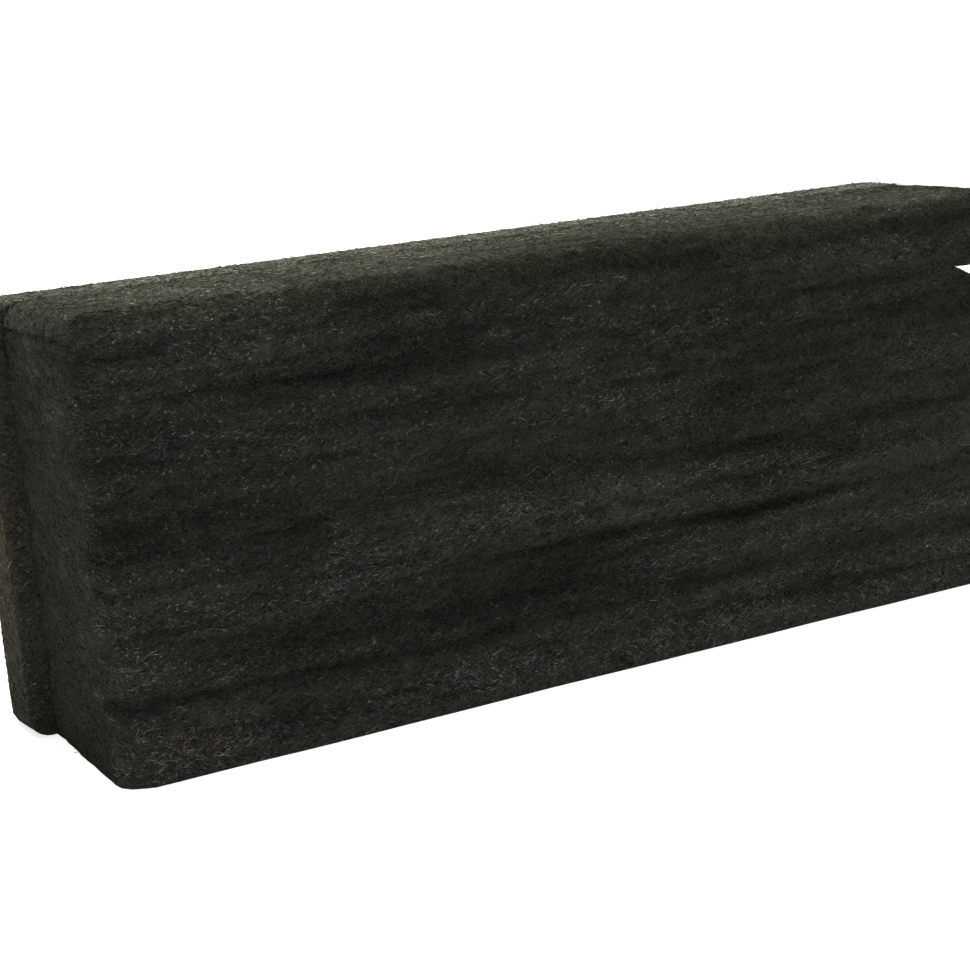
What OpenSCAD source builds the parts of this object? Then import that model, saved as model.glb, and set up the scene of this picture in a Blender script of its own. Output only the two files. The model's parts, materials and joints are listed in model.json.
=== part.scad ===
// All-felt chalkboard eraser: a thick felt back sheet with folded felt strips sewn to it.
// It stands on a long side: X runs along the length, Y from the wiping face to the back, Z is up.

/* [Back sheet] */
// Length of the back sheet, the longest size of the eraser
length = 130; // [90:1:180]
// Thickness of the felt of the back sheet
sheet_t = 9; // [5:0.5:14]
// Radius of the back sheet's four corners
sheet_corner_r = 2.5; // [1:0.5:10]
// How far the back sheet runs past the strips at each end
overhang = 2.8; // [0:0.2:6]

/* [Folded strips] */
// Thickness of the felt of a strip
ply_t = 3.95; // [2.5:0.05:6]
// Depth of the pad, from the back sheet to the wiping face
pad_depth = 25; // [16:0.5:40]
// Gap between the two plies of a strip
slit = 0.3; // [0.1:0.05:1]
// Gap between one strip and the next
strip_gap = 0.16; // [0.08:0.02:0.6]
// Radius of the soft edges of a ply at the wiping face
edge_r = 1.1; // [0.3:0.1:2]
// Radius of the pad's upright corners at the two ends of the wiping face
end_r = 2.4; // [0.5:0.1:5]
// Radius of the fold where it lies against the back sheet
fold_r = 2.6; // [0.5:0.1:4]

/* [Stitching] */
// Diameter of the sewing thread
thread_d = 0.8; // [0.4:0.05:1.2]
// Length of one stitch
stitch_len = 7.5; // [5:0.5:15]
// Least distance from the end of a strip to the first stitch
stitch_inset = 4; // [3:0.5:10]
// Depth that the stitching pulls the thread below the back of the sheet
thread_sink = 0.3; // [0.1:0.05:0.8]
// Room around a thread where it passes through the felt
thread_room = 0.05; // [0.02:0.01:0.15]
// How much thinner a thread is drawn where it passes through the felt
thread_draw = 0.1; // [0.06:0.02:0.2]

/* [Hidden] */
$fn = 96;

// How far a cutting shape runs past the felt that it cuts
cut_past = 1;
// Radius of a corner that is meant to be square
square_r = 0.01;

// The strips are counted from the top down.
strip_count = 6;
strip_h = 2 * ply_t + slit;
strip_pitch = strip_h + strip_gap;
strip_len = length - 2 * overhang;
height = strip_count * strip_pitch - strip_gap;

// Planes across the depth, from the wiping face to the back
front_y = -(pad_depth + sheet_t) / 2;
seam_y = front_y + pad_depth;
back_y = seam_y + sheet_t;

// A soft edge is rounder than its felt is thick only as far as the felt allows.
ply_edge_r = min(edge_r, 0.48 * ply_t);
bend_r = min(fold_r, ply_t);

// The stitching pulls the thread thin in its needle holes, which are a little wider than it.
thread_r = thread_d / 2;
leg_r = (thread_d - thread_draw) / 2;
hole_r = leg_r + thread_room;

// The bobbin thread lies in a tunnel at the bottom of the slit, and the bend behind it is one ply thick.
tunnel_r = max(thread_r + thread_room, slit / 2);
tunnel_y = seam_y - ply_t - tunnel_r;
bobbin_y = seam_y - ply_t - thread_r;

// The needle thread lies in a channel that its own pull presses into the back of the sheet.
channel_r = thread_r + thread_room;
channel_floor_y = back_y - thread_d - thread_sink;
needle_y = channel_floor_y + thread_r;

// The two threads of a row lock round each other halfway through the back sheet.
lock_y = seam_y + sheet_t / 2;

// Each row has as many whole stitches as fit between the insets.
stitch_count = floor((strip_len - 2 * stitch_inset) / stitch_len);
row_len = stitch_count * stitch_len;

felt_black = "#232520";
felt_brown = "#36332b";
thread_grey = "#4a4c46";

// Middle height of strip i
function strip_z(i) = height - strip_h / 2 - (i - 1) * strip_pitch;

// Outline of a bar that runs from x = 0 to x = d and from y = 0 to y = h.
// Its corners have radius r_low at the low end and r_high at the high end.
module soft_bar(d, h, r_low, r_high) {
    translate([r_low, 0]) square([d - r_low - r_high, h]);
    translate([0, r_low]) square([d / 2, h - 2 * r_low]);
    translate([d / 2, r_high]) square([d / 2, h - 2 * r_high]);
    for (y = [r_low, h - r_low]) translate([r_low, y]) circle(r = r_low);
    for (y = [r_high, h - r_high]) translate([d - r_high, y]) circle(r = r_high);
}

// Stretch of thread along X, over all the holes of a row, at depth y
module thread_run(y) {
    translate([-row_len / 2 - thread_r, y, 0]) rotate([0, 90, 0])
        cylinder(h = row_len + thread_d, r = thread_r);
}

// The same round bar along Y at each hole of a row, from y_low to y_high
module at_holes(y_low, y_high, r) {
    for (k = [0 : stitch_count])
        translate([-row_len / 2 + k * stitch_len, y_low, 0])
            rotate([-90, 0, 0]) cylinder(h = y_high - y_low, r = r);
}

// Section of a folded strip: two plies with a slit between them and a bend at the back sheet.
module strip_section() {
    mouth_h = slit + 2 * ply_edge_r;
    difference() {
        soft_bar(pad_depth, strip_h, ply_edge_r, bend_r);
        translate([-cut_past, ply_t]) square([tunnel_y - front_y + cut_past, slit]);
        translate([tunnel_y - front_y, strip_h / 2]) circle(r = tunnel_r);
        difference() {
            translate([-cut_past, ply_t - ply_edge_r]) square([ply_edge_r + cut_past, mouth_h]);
            for (y = [ply_t - ply_edge_r, ply_t + slit + ply_edge_r])
                translate([ply_edge_r, y]) circle(r = ply_edge_r);
            translate([ply_edge_r, 0]) square([ply_edge_r, strip_h]);
        }
    }
}

module back_sheet() {
    color(felt_brown) difference() {
        translate([-length / 2, back_y, 0]) rotate([90, 0, 0])
            linear_extrude(sheet_t) soft_bar(length, height, sheet_corner_r, sheet_corner_r);
        for (i = [1 : strip_count]) translate([0, 0, strip_z(i)]) {
            at_holes(seam_y - cut_past, back_y + cut_past, hole_r);
            translate([-row_len / 2 - 2 * channel_r, channel_floor_y, -channel_r])
                cube([row_len + 4 * channel_r, back_y - channel_floor_y + cut_past, 2 * channel_r]);
        }
    }
}

module felt_fold(i) {
    color(felt_black) difference() {
        intersection() {
            translate([-strip_len / 2, front_y, strip_z(i) - strip_h / 2]) rotate([90, 0, 90])
                linear_extrude(strip_len) strip_section();
            translate([strip_len / 2, front_y, -cut_past]) rotate([0, 0, 90])
                linear_extrude(height + 2 * cut_past) soft_bar(pad_depth, strip_len, end_r, square_r);
        }
        translate([0, 0, strip_z(i)]) at_holes(tunnel_y, seam_y + cut_past, hole_r);
    }
}

module needle_thread(i) {
    color(thread_grey) translate([0, 0, strip_z(i)]) {
        thread_run(needle_y);
        at_holes(lock_y, needle_y, leg_r);
    }
}

module bobbin_thread(i) {
    color(thread_grey) translate([0, 0, strip_z(i)]) {
        thread_run(bobbin_y);
        at_holes(bobbin_y, lock_y, leg_r);
    }
}

back_sheet();
for (i = [1 : strip_count]) {
    felt_fold(i);
    needle_thread(i);
    bobbin_thread(i);
}
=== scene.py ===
"""Dresses the all-felt chalkboard eraser: folded strips, back sheet, stitching, fuzz and studio."""
import json
import logging
import math
from dataclasses import dataclass
from enum import Enum
from typing import Any

import bpy
import numpy as np
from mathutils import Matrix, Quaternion, Vector, noise

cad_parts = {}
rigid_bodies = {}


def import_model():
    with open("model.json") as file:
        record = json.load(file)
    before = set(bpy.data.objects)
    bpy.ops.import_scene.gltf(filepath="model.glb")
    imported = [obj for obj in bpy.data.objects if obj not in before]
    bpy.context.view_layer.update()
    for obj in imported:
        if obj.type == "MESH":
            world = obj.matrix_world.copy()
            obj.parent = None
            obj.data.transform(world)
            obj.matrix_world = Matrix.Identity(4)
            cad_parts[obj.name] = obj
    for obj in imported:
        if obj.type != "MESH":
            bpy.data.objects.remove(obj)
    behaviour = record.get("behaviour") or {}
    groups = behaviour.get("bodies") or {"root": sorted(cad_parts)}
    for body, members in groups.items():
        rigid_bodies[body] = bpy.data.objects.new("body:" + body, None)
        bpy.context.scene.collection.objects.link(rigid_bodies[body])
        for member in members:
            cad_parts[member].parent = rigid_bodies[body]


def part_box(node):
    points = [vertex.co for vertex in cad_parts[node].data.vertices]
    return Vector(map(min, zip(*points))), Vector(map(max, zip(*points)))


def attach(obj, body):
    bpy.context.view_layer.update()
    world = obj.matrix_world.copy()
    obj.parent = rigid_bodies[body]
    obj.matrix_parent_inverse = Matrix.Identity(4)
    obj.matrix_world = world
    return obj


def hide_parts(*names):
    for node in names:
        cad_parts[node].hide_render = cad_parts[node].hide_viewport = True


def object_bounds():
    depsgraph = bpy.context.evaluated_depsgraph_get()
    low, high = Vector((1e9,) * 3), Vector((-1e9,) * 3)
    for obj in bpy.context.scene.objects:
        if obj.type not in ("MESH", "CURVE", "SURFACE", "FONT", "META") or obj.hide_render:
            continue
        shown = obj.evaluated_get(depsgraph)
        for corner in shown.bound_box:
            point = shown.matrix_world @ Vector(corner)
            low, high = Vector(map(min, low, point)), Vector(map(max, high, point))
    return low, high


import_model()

LOG = logging.getLogger("eraser")
MM = 0.001
ROOT = "root"
CAD_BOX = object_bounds()
WHITE = (1.0, 1.0, 1.0, 1.0)
ANY_WAY = 3.14  # tangle of felt whose fibres lie in no direction

Colour = tuple[float, float, float]
Triple = tuple[float, float, float]
Pattern = tuple[Triple, float]  # noise cells per millimetre along each axis, and an offset
Faces = list[tuple[int, ...]]
Array = np.ndarray
Piece = bpy.types.Object
Tree = bpy.types.NodeTree
Socket = bpy.types.NodeSocket


# ---------------------------------------------------------------- numbers and meshes


def smooth(t: Array) -> Array:
    """Ease from 0 to 1 as t goes from 0 to 1, level at both ends."""
    t = np.clip(t, 0.0, 1.0)
    return t * t * (3.0 - 2.0 * t)


def ease(value: Array, start: float, width: float) -> Array:
    """Ease from 0 to 1 as a value goes from a start over a width."""
    return smooth((value - start) / width)


def bell(x: Array, centre: float, spread: float) -> Array:
    """Bell curve of height 1 about centre."""
    return np.exp(-(((x - centre) / spread) ** 2))


def arc_drop(radius: Any, past: Array) -> Array:
    """How far a round corner lies inside the square one, at a distance past the arc's start."""
    return radius - np.sqrt(np.maximum(0.0, radius**2 - past**2))


def noise_at(points: Array, scale: Triple, offset: float) -> Array:
    """Sample smooth noise at many points.

    Args:
        points: Array of n by 3 places.
        scale: Noise cells per unit along each axis.
        offset: Moves the sample, so that two calls differ.

    Returns:
        One value from about -1 to 1 for each point.
    """
    where = points * np.array(scale) + offset
    return np.array([noise.noise(Vector(p)) for p in where.tolist()])


def lattice(cells: tuple[int, int, int]) -> tuple[Array, Faces]:
    """Make the skin of a box of cells.

    Args:
        cells: Number of cells along the three directions.

    Returns:
        The lattice place of each skin point, n by 3, and the quads between them.
    """
    nu, nv, nw = (c + 1 for c in cells)
    grid = np.arange(nu * nv * nw).reshape(nu, nv, nw)
    quads: Faces = []
    for sheet, flip in (
        (grid[:, :, 0], True),
        (grid[:, :, -1], False),
        (grid[:, 0, :], False),
        (grid[:, -1, :], True),
        (grid[0, :, :], True),
        (grid[-1, :, :], False),
    ):
        a, b = sheet[:-1, :-1].ravel(), sheet[1:, :-1].ravel()
        c, d = sheet[1:, 1:].ravel(), sheet[:-1, 1:].ravel()
        order = (a, d, c, b) if flip else (a, b, c, d)
        quads.extend(zip(*(o.tolist() for o in order)))
    used, flat = np.unique(np.array(quads), return_inverse=True)
    faces = [tuple(q) for q in flat.reshape(-1, 4).tolist()]
    places = np.stack(np.unravel_index(used, (nu, nv, nw)), axis=1)
    return places, faces


def link(name: str, data: bpy.types.ID) -> Piece:
    """Make an object and put it in the scene.

    Args:
        name: Name of the object.
        data: Its mesh, light or camera.

    Returns:
        The new object.
    """
    obj = bpy.data.objects.new(name, data)
    bpy.context.scene.collection.objects.link(obj)
    return obj


def new_piece(name: str, points_mm: Array, faces: Faces) -> Piece:
    """Make a smooth mesh object whose faces point outwards.

    Args:
        name: Name of the piece.
        points_mm: Its points, in millimetres.
        faces: Its faces, as tuples of point numbers.

    Returns:
        The new object, linked to the scene.
    """
    corners = points_mm[np.array(faces)[:, :3]]
    normals = np.cross(corners[:, 1], corners[:, 2])
    volume = np.einsum("ij,ij->i", corners[:, 0], normals).sum()
    if volume < 0:
        faces = [tuple(reversed(f)) for f in faces]
    mesh = bpy.data.meshes.new(name)
    mesh.from_pydata((points_mm * MM).tolist(), [], faces)
    mesh.shade_smooth()
    return link(name, mesh)


def add_values(obj: Piece, name: str, values: Array) -> None:
    """Store one number for each point of a mesh under a name."""
    store = obj.data.attributes.new(name, "FLOAT", "POINT")
    store.data.foreach_set("value", values.astype(np.float32))


def report(piece: Piece) -> None:
    """Report a finished piece in the log."""
    triangles = sum(len(p.vertices) - 2 for p in piece.data.polygons)
    LOG.info("%s: %d triangles", piece.name, triangles)


# ---------------------------------------------------------------- node building


def put(
    tree: Tree, kind: str, feeds: dict[Any, Any] | None = None, **settings: Any
) -> bpy.types.Node:
    """Add a node to a tree.

    Args:
        tree: The tree that gets the node.
        kind: Blender's name for the type of node.
        feeds: For each input, by identifier or number, a socket to link or a plain value.
        settings: Properties of the node.

    Returns:
        The new node.
    """
    node = tree.nodes.new(kind)
    for key, value in settings.items():
        setattr(node, key, value)
    by_name = {s.identifier: s for s in node.inputs}
    for key, value in (feeds or {}).items():
        socket = node.inputs[key] if isinstance(key, int) else by_name[key]
        feed(tree, socket, value)
    return node


def feed(tree: Tree, socket: Socket, value: Any) -> None:
    """Give an input what it gets.

    Args:
        tree: The tree of the input.
        socket: The input.
        value: A socket to link, or a plain value to set.
    """
    if isinstance(value, Socket):
        tree.links.new(value, socket)
    else:
        socket.default_value = value


def maths(tree: Tree, operation: str, *values: Any, clamp: bool = False) -> Socket:
    """Add a Math node and give its result."""
    feeds = dict(enumerate(values))
    return put(tree, "ShaderNodeMath", feeds, operation=operation, use_clamp=clamp).outputs[0]


def vector_maths(tree: Tree, operation: str, *values: Any) -> Socket:
    """Add a Vector Math node and give its result."""
    feeds = dict(enumerate(values))
    return put(tree, "ShaderNodeVectorMath", feeds, operation=operation).outputs[0]


def scaled(tree: Tree, vector: Any, factor: Any) -> Socket:
    """Multiply a vector by a number."""
    feeds = {0: vector, "Scale": factor}
    return put(tree, "ShaderNodeVectorMath", feeds, operation="SCALE").outputs[0]


def rising(tree: Tree, value: Socket, start: float, gain: float) -> Socket:
    """Make a mask that rises from 0, where a value passes a start, by a gain up to 1."""
    over = maths(tree, "SUBTRACT", value, start, clamp=True)
    return maths(tree, "MULTIPLY", over, gain, clamp=True)


def blend_colours(tree: Tree, factor: Any, a: Any, b: Any) -> Socket:
    """Mix two colours by a factor."""
    feeds = {"Factor_Float": factor, "A_Color": a, "B_Color": b}
    return put(tree, "ShaderNodeMix", feeds, data_type="RGBA").outputs["Result"]


def stored(tree: Tree, name: str) -> Socket:
    """Read a number that is stored on a piece, in a material."""
    return put(tree, "ShaderNodeAttribute", attribute_name=name).outputs["Fac"]


def use_group(tree: Tree, group: Tree, feeds: dict[str, Any]) -> Any:
    """Place a shader group in a material.

    Args:
        tree: The material's node tree.
        group: The group.
        feeds: For each input by name, a socket to link or a plain value.

    Returns:
        The outputs of the placed group, by name.
    """
    node = put(tree, "ShaderNodeGroup", node_tree=group)
    for name, value in feeds.items():
        feed(tree, node.inputs[name], value)
    return node.outputs


def add_inputs(tree: Tree, sockets: dict[str, str]) -> None:
    """Give a Geometry Nodes tree its inputs and its output.

    Args:
        tree: The tree.
        sockets: Type of each input by its name, besides the geometry.
    """
    face = tree.interface
    face.new_socket("Geometry", in_out="INPUT", socket_type="NodeSocketGeometry")
    for name, kind in sockets.items():
        face.new_socket(name, in_out="INPUT", socket_type="NodeSocket" + kind)
    face.new_socket("Geometry", in_out="OUTPUT", socket_type="NodeSocketGeometry")


def evaluate(name: str, data: bpy.types.Mesh, tree: Tree, values: dict[str, Any]) -> Piece:
    """Run a Geometry Nodes tree on a mesh.

    Args:
        name: Name of the new piece.
        data: Mesh that the tree starts from.
        tree: The tree.
        values: Value of each input by its name.

    Returns:
        The result as a piece with a plain mesh.
    """
    host = link(name + "_host", data)
    modifier = host.modifiers.new("tree", "NODES")
    modifier.node_group = tree
    for item in tree.interface.items_tree:
        if item.in_out == "INPUT" and item.name in values:
            modifier[item.identifier] = values[item.name]
    graph = bpy.context.evaluated_depsgraph_get()
    mesh = bpy.data.meshes.new_from_object(host.evaluated_get(graph))
    host.modifiers.remove(modifier)
    bpy.data.objects.remove(host)
    mesh.name = name
    mesh.materials.clear()
    mesh.materials.append(values["Material"])
    mesh.shade_smooth()
    return link(name, mesh)


def rgba(colour: Colour) -> tuple[float, float, float, float]:
    """Add an alpha of 1 to a colour."""
    return (*colour, 1.0)


def new_material(name: str) -> tuple[bpy.types.Material, Tree, bpy.types.Node]:
    """Make a material with nodes.

    Args:
        name: Name of the material.

    Returns:
        The material, its node tree and its Principled BSDF node.
    """
    material = bpy.data.materials.new(name)
    material.use_nodes = True
    tree = material.node_tree
    return material, tree, tree.nodes["Principled BSDF"]


# ---------------------------------------------------------------- finishes


@dataclass(frozen=True)
class FeltGrain:
    """Marks of matted wool that every felt and fibre finish shares."""

    fibre_scale: float = 1400.0
    lie: float = 0.35
    patch_scale: float = 90.0
    speck_scale: float = 3600.0
    fine_scale: float = 900.0
    # turn of each set of fibre lines, and how much finer it is
    fibre_sets: tuple[tuple[float, float], ...] = ((0.5, 1.0), (-0.6, 1.7))
    line_narrowness: float = 13.0
    speck_squash: Triple = (0.7, 0.5, 1.0)
    speck_start: float = 0.6
    speck_gain: float = 10.0
    cluster_start: float = 0.4
    cluster_gain: float = 5.0
    cluster_share: float = 0.75
    fibre_height: float = 0.5

    def build(self) -> Tree:
        """Build the shader group.

        Returns:
            A group that turns a place into slow patches, fibre lines, pale specks and a height; the
            specks are painted glints of the wool and partly pale bits of fibre.
        """
        tree = bpy.data.node_groups.new("felt_grain", "ShaderNodeTree")
        tree.interface.new_socket("Vector", in_out="INPUT", socket_type="NodeSocketVector")
        for name, value in (
            ("Fibre Scale", self.fibre_scale),
            ("Lie", self.lie),
            ("Patch Scale", self.patch_scale),
            ("Speck Scale", self.speck_scale),
        ):
            new = tree.interface.new_socket(name, in_out="INPUT", socket_type="NodeSocketFloat")
            new.default_value = value
        for name in ("Patches", "Fibres", "Glint Specks", "Height"):
            tree.interface.new_socket(name, in_out="OUTPUT", socket_type="NodeSocketFloat")
        given = put(tree, "NodeGroupInput").outputs
        place = given["Vector"]
        feeds = {"X": given["Lie"], "Y": given["Lie"], "Z": 1.0}
        lie = put(tree, "ShaderNodeCombineXYZ", feeds).outputs[0]
        along = vector_maths(tree, "MULTIPLY", place, lie)
        feeds = {"Vector": along, "Scale": given["Patch Scale"]}
        feeds |= {"Detail": 4.0, "Roughness": 0.65, "Distortion": 0.4}
        patches = put(tree, "ShaderNodeTexNoise", feeds).outputs["Fac"]
        lines = maths(tree, "MAXIMUM", *self.fibre_lines(tree, given, lie))
        feeds = {"Vector": place, "Scale": self.fine_scale, "Detail": 4.0, "Roughness": 0.7}
        fine = put(tree, "ShaderNodeTexNoise", feeds).outputs["Fac"]
        # Pale specks: painted glints of the wool and partly pale bits of fibre.
        close = vector_maths(tree, "MULTIPLY", place, self.speck_squash)
        feeds = {"Vector": close, "Scale": given["Speck Scale"]}
        feeds |= {"Detail": 2.0, "Roughness": 0.6, "Distortion": 1.0}
        glint_specks = put(tree, "ShaderNodeTexNoise", feeds).outputs["Fac"]
        glint_specks = rising(tree, glint_specks, self.speck_start, self.speck_gain)
        clusters = rising(tree, patches, self.cluster_start, self.cluster_gain)
        share = maths(tree, "MULTIPLY_ADD", clusters, self.cluster_share, 1 - self.cluster_share)
        glint_specks = maths(tree, "MULTIPLY", glint_specks, share)
        height = maths(tree, "ADD", maths(tree, "MULTIPLY", lines, self.fibre_height), fine)
        put(tree, "NodeGroupOutput", dict(enumerate((patches, lines, glint_specks, height))))
        return tree

    def fibre_lines(self, tree: Tree, given: Any, lie: Socket) -> list[Socket]:
        """Draw each set of fibre lines.

        Args:
            tree: The group's tree.
            given: The group's inputs.
            lie: How the lines are drawn out along each axis.

        Returns:
            For each set a mask that is 1 along its lines.
        """
        masks = []
        for turn, factor in self.fibre_sets:
            feeds = {"Vector": given["Vector"], "Angle": turn}
            turned = put(tree, "ShaderNodeVectorRotate", feeds, rotation_type="Y_AXIS").outputs[0]
            feeds = {
                "Vector": vector_maths(tree, "MULTIPLY", turned, lie),
                "Scale": maths(tree, "MULTIPLY", given["Fibre Scale"], factor),
                "Detail": 2.0,
                "Roughness": 0.6,
                "Distortion": 1.2,
            }
            value = put(tree, "ShaderNodeTexNoise", feeds).outputs["Fac"]
            away = maths(tree, "ABSOLUTE", maths(tree, "SUBTRACT", value, 0.5))
            narrow = maths(tree, "MULTIPLY", away, self.line_narrowness)
            masks.append(maths(tree, "SUBTRACT", 1.0, narrow, clamp=True))
        return masks


def light_and_cut_group() -> Tree:
    """Build the shader group that tints felt with painted light on its top and where it was cut.

    Returns:
        A group that turns a colour into the tinted one, by a mask and a tint for each of the two.
    """
    brightest = (0.8, 0.8, 0.8)
    tree = bpy.data.node_groups.new("felt_light_and_cut", "ShaderNodeTree")
    for name in ("Color", "Lit Top Tint", "Cut Tint"):
        tree.interface.new_socket(name, in_out="INPUT", socket_type="NodeSocketColor")
    for name in ("Lit Top", "Cut And Floor Shade"):
        tree.interface.new_socket(name, in_out="INPUT", socket_type="NodeSocketFloat")
    tree.interface.new_socket("Color", in_out="OUTPUT", socket_type="NodeSocketColor")
    given = put(tree, "NodeGroupInput").outputs
    colour = given["Color"]
    # Painted light: the lit top is lightened and yellowed; cut edges are browned.
    for mask, tint in (("Lit Top", "Lit Top Tint"), ("Cut And Floor Shade", "Cut Tint")):
        tinted = blend_colours(tree, given[mask], WHITE, given[tint])
        colour = vector_maths(tree, "MULTIPLY", colour, tinted)
    put(tree, "NodeGroupOutput", {0: vector_maths(tree, "MINIMUM", colour, brightest)})
    return tree


@dataclass(frozen=True)
class WoolGroups:
    """The shader groups that the felts and the fibres share."""

    grain: Tree
    light_and_cut: Tree

    def age(self, tree: Tree, colour: Socket, lit_top_tint: Colour, cut_tint: Colour) -> Socket:
        """Tint a colour by the painted light on a piece's top and by how cut it is at each point.

        Args:
            tree: The material's node tree.
            colour: The colour of the felt or fibre before these tints.
            lit_top_tint: Tint of the painted light on the top.
            cut_tint: Tint where it was cut.

        Returns:
            The tinted colour.
        """
        feeds = {
            "Color": colour,
            "Lit Top": stored(tree, "faded"),
            "Lit Top Tint": rgba(lit_top_tint),
            "Cut And Floor Shade": stored(tree, "cut"),
            "Cut Tint": rgba(cut_tint),
        }
        return use_group(tree, self.light_and_cut, feeds)["Color"]


@dataclass(frozen=True)
class FeltFinish:
    """Matted wool felt, with flecks of wool of two other colours."""

    name: str
    dark: Colour
    light: Colour
    fibre: Colour
    fleck_a: Colour
    fleck_b: Colour
    fleck_share: float = 0.6
    fleck_scales: tuple[float, float] = (560.0, 430.0)
    fleck_apart: float = 7.0
    fleck_start: float = 0.5
    fleck_gain: float = 6.0
    glint_specks: float = 4.0
    cut_tint: Colour = (1.0, 1.0, 1.0)
    # painted light on the top: the tint that lightens and yellows it
    lit_top_tint: Colour = (1.32, 1.34, 1.18)
    light_and_wear: float = 0.6
    fibre_share: float = 0.4
    fibre_share_lit_and_worn: float = 0.45
    roughness: float = 0.75
    roughness_spread: float = 0.2
    sheen: float = 0.3
    sheen_roughness: float = 0.3
    sheen_tint: Colour = (0.72, 0.76, 0.55)
    bump_mm: float = 0.25

    def make(self, groups: WoolGroups) -> bpy.types.Material:
        """Build the material, which reads the felt's wear with its painted light and shade, the
        painted light on its top, and how cut it is, with painted shade near the floor.

        Args:
            groups: The shared shader groups.

        Returns:
            The material.
        """
        material, tree, shader = new_material(self.name)
        place = put(tree, "ShaderNodeTexCoord").outputs["Object"]
        marks = use_group(tree, groups.grain, {"Vector": place})
        ground = blend_colours(tree, marks["Patches"], rgba(self.dark), rgba(self.light))
        for i, fleck in enumerate((self.fleck_a, self.fleck_b)):
            feeds = {"Vector": place, "W": i * self.fleck_apart, "Scale": self.fleck_scales[i]}
            feeds |= {"Detail": 3.0, "Roughness": 0.6}
            spots = put(tree, "ShaderNodeTexNoise", feeds, noise_dimensions="4D").outputs["Fac"]
            spots = rising(tree, spots, self.fleck_start, self.fleck_gain)
            spots = maths(tree, "MULTIPLY", spots, self.fleck_share)
            ground = blend_colours(tree, spots, ground, rgba(fleck))
        # lit_and_worn holds wear together with painted light and shade: where it is high the felt
        # shows more pale fibre and is lighter, and where it is low it is darker.
        lit_and_worn = stored(tree, "lit_and_worn")
        share = maths(tree, "MULTIPLY_ADD", lit_and_worn, self.fibre_share_lit_and_worn, self.fibre_share)
        share = maths(tree, "MULTIPLY", marks["Fibres"], share)
        colour = blend_colours(tree, share, ground, rgba(self.fibre))
        pale = maths(tree, "ADD", maths(tree, "MULTIPLY", lit_and_worn, self.light_and_wear), 1 - self.light_and_wear / 2)
        colour = scaled(tree, colour, pale)
        # Painted glints: the specks lighten the felt.
        bright = maths(tree, "MULTIPLY_ADD", marks["Glint Specks"], self.glint_specks, 1.0)
        colour = scaled(tree, colour, bright)
        lit_and_cut_colour = groups.age(tree, colour, self.lit_top_tint, self.cut_tint)
        tree.links.new(lit_and_cut_colour, shader.inputs["Base Color"])
        spread = maths(tree, "MULTIPLY", marks["Patches"], self.roughness_spread)
        rough = maths(tree, "ADD", spread, self.roughness)
        tree.links.new(rough, shader.inputs["Roughness"])
        feeds = {"Height": marks["Height"], "Distance": self.bump_mm * MM}
        relief = put(tree, "ShaderNodeBump", feeds).outputs["Normal"]
        tree.links.new(relief, shader.inputs["Normal"])
        shader.inputs["Specular IOR Level"].default_value = 0.0
        shader.inputs["Sheen Weight"].default_value = self.sheen
        shader.inputs["Sheen Roughness"].default_value = self.sheen_roughness
        shader.inputs["Sheen Tint"].default_value = rgba(self.sheen_tint)
        return material


@dataclass(frozen=True)
class FibreFinish:
    """Single wool fibres, most of them as dark as the felt and a few pale."""

    name: str
    dark: Colour
    middle: Colour
    light: Colour
    pale: Colour
    middle_at: float = 0.5
    light_at: float = 0.85
    bright_at: float = 0.97
    brightening: float = 1.8
    warmth: float = 0.5
    warmth_scale: float = 320.0
    patch_scale: float = 230.0
    patch_gain: float = 2.5
    darkest_patch: float = 0.3
    glint_specks: float = 4.0
    roughness: float = 0.7
    cut_tint: Colour = (1.0, 1.0, 1.0)
    # painted light on the top: the tint that lightens and yellows it
    lit_top_tint: Colour = (1.32, 1.34, 1.18)

    def make(self, groups: WoolGroups) -> bpy.types.Material:
        """Build the material, which reads each fibre's own tone.

        Args:
            groups: The shared shader groups.

        Returns:
            The material.
        """
        material, tree, shader = new_material(self.name)
        ramp = put(tree, "ShaderNodeValToRGB", {"Fac": stored(tree, "tone")})
        stops = ramp.color_ramp.elements
        stops[0].position, stops[0].color = 0.0, rgba(self.dark)
        stops[1].position, stops[1].color = 1.0, rgba(self.pale)
        stops.new(self.middle_at).color = rgba(self.middle)
        stops.new(self.light_at).color = rgba(self.light)
        stops.new(self.bright_at).color = rgba(tuple(self.brightening * c for c in self.light))
        place = put(tree, "ShaderNodeTexCoord").outputs["Object"]
        feeds = {"Vector": place, "Scale": self.warmth_scale, "Detail": 2.0}
        tint = put(tree, "ShaderNodeTexNoise", feeds).outputs["Color"]
        shade = blend_colours(tree, self.warmth, WHITE, tint)
        feeds = {"Factor_Float": 1.0, "A_Color": ramp.outputs["Color"], "B_Color": shade}
        mixed = put(tree, "ShaderNodeMix", feeds, data_type="RGBA", blend_type="MULTIPLY")
        shade = mixed.outputs["Result"]
        feeds = {"Vector": place, "Patch Scale": self.patch_scale}
        marks = use_group(tree, groups.grain, feeds)
        slow = maths(tree, "SUBTRACT", marks["Patches"], 0.5)
        slow = maths(tree, "ADD", maths(tree, "MULTIPLY", slow, self.patch_gain), 1.0)
        shade = scaled(tree, shade, maths(tree, "MAXIMUM", slow, self.darkest_patch))
        # Painted glints: the specks lighten the fibres.
        bright = maths(tree, "MULTIPLY_ADD", marks["Glint Specks"], self.glint_specks, 1.0)
        shade = scaled(tree, shade, bright)
        lit_and_cut_colour = groups.age(tree, shade, self.lit_top_tint, self.cut_tint)
        tree.links.new(lit_and_cut_colour, shader.inputs["Base Color"])
        shader.inputs["Roughness"].default_value = self.roughness
        shader.inputs["Specular IOR Level"].default_value = 0.0
        return material


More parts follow.
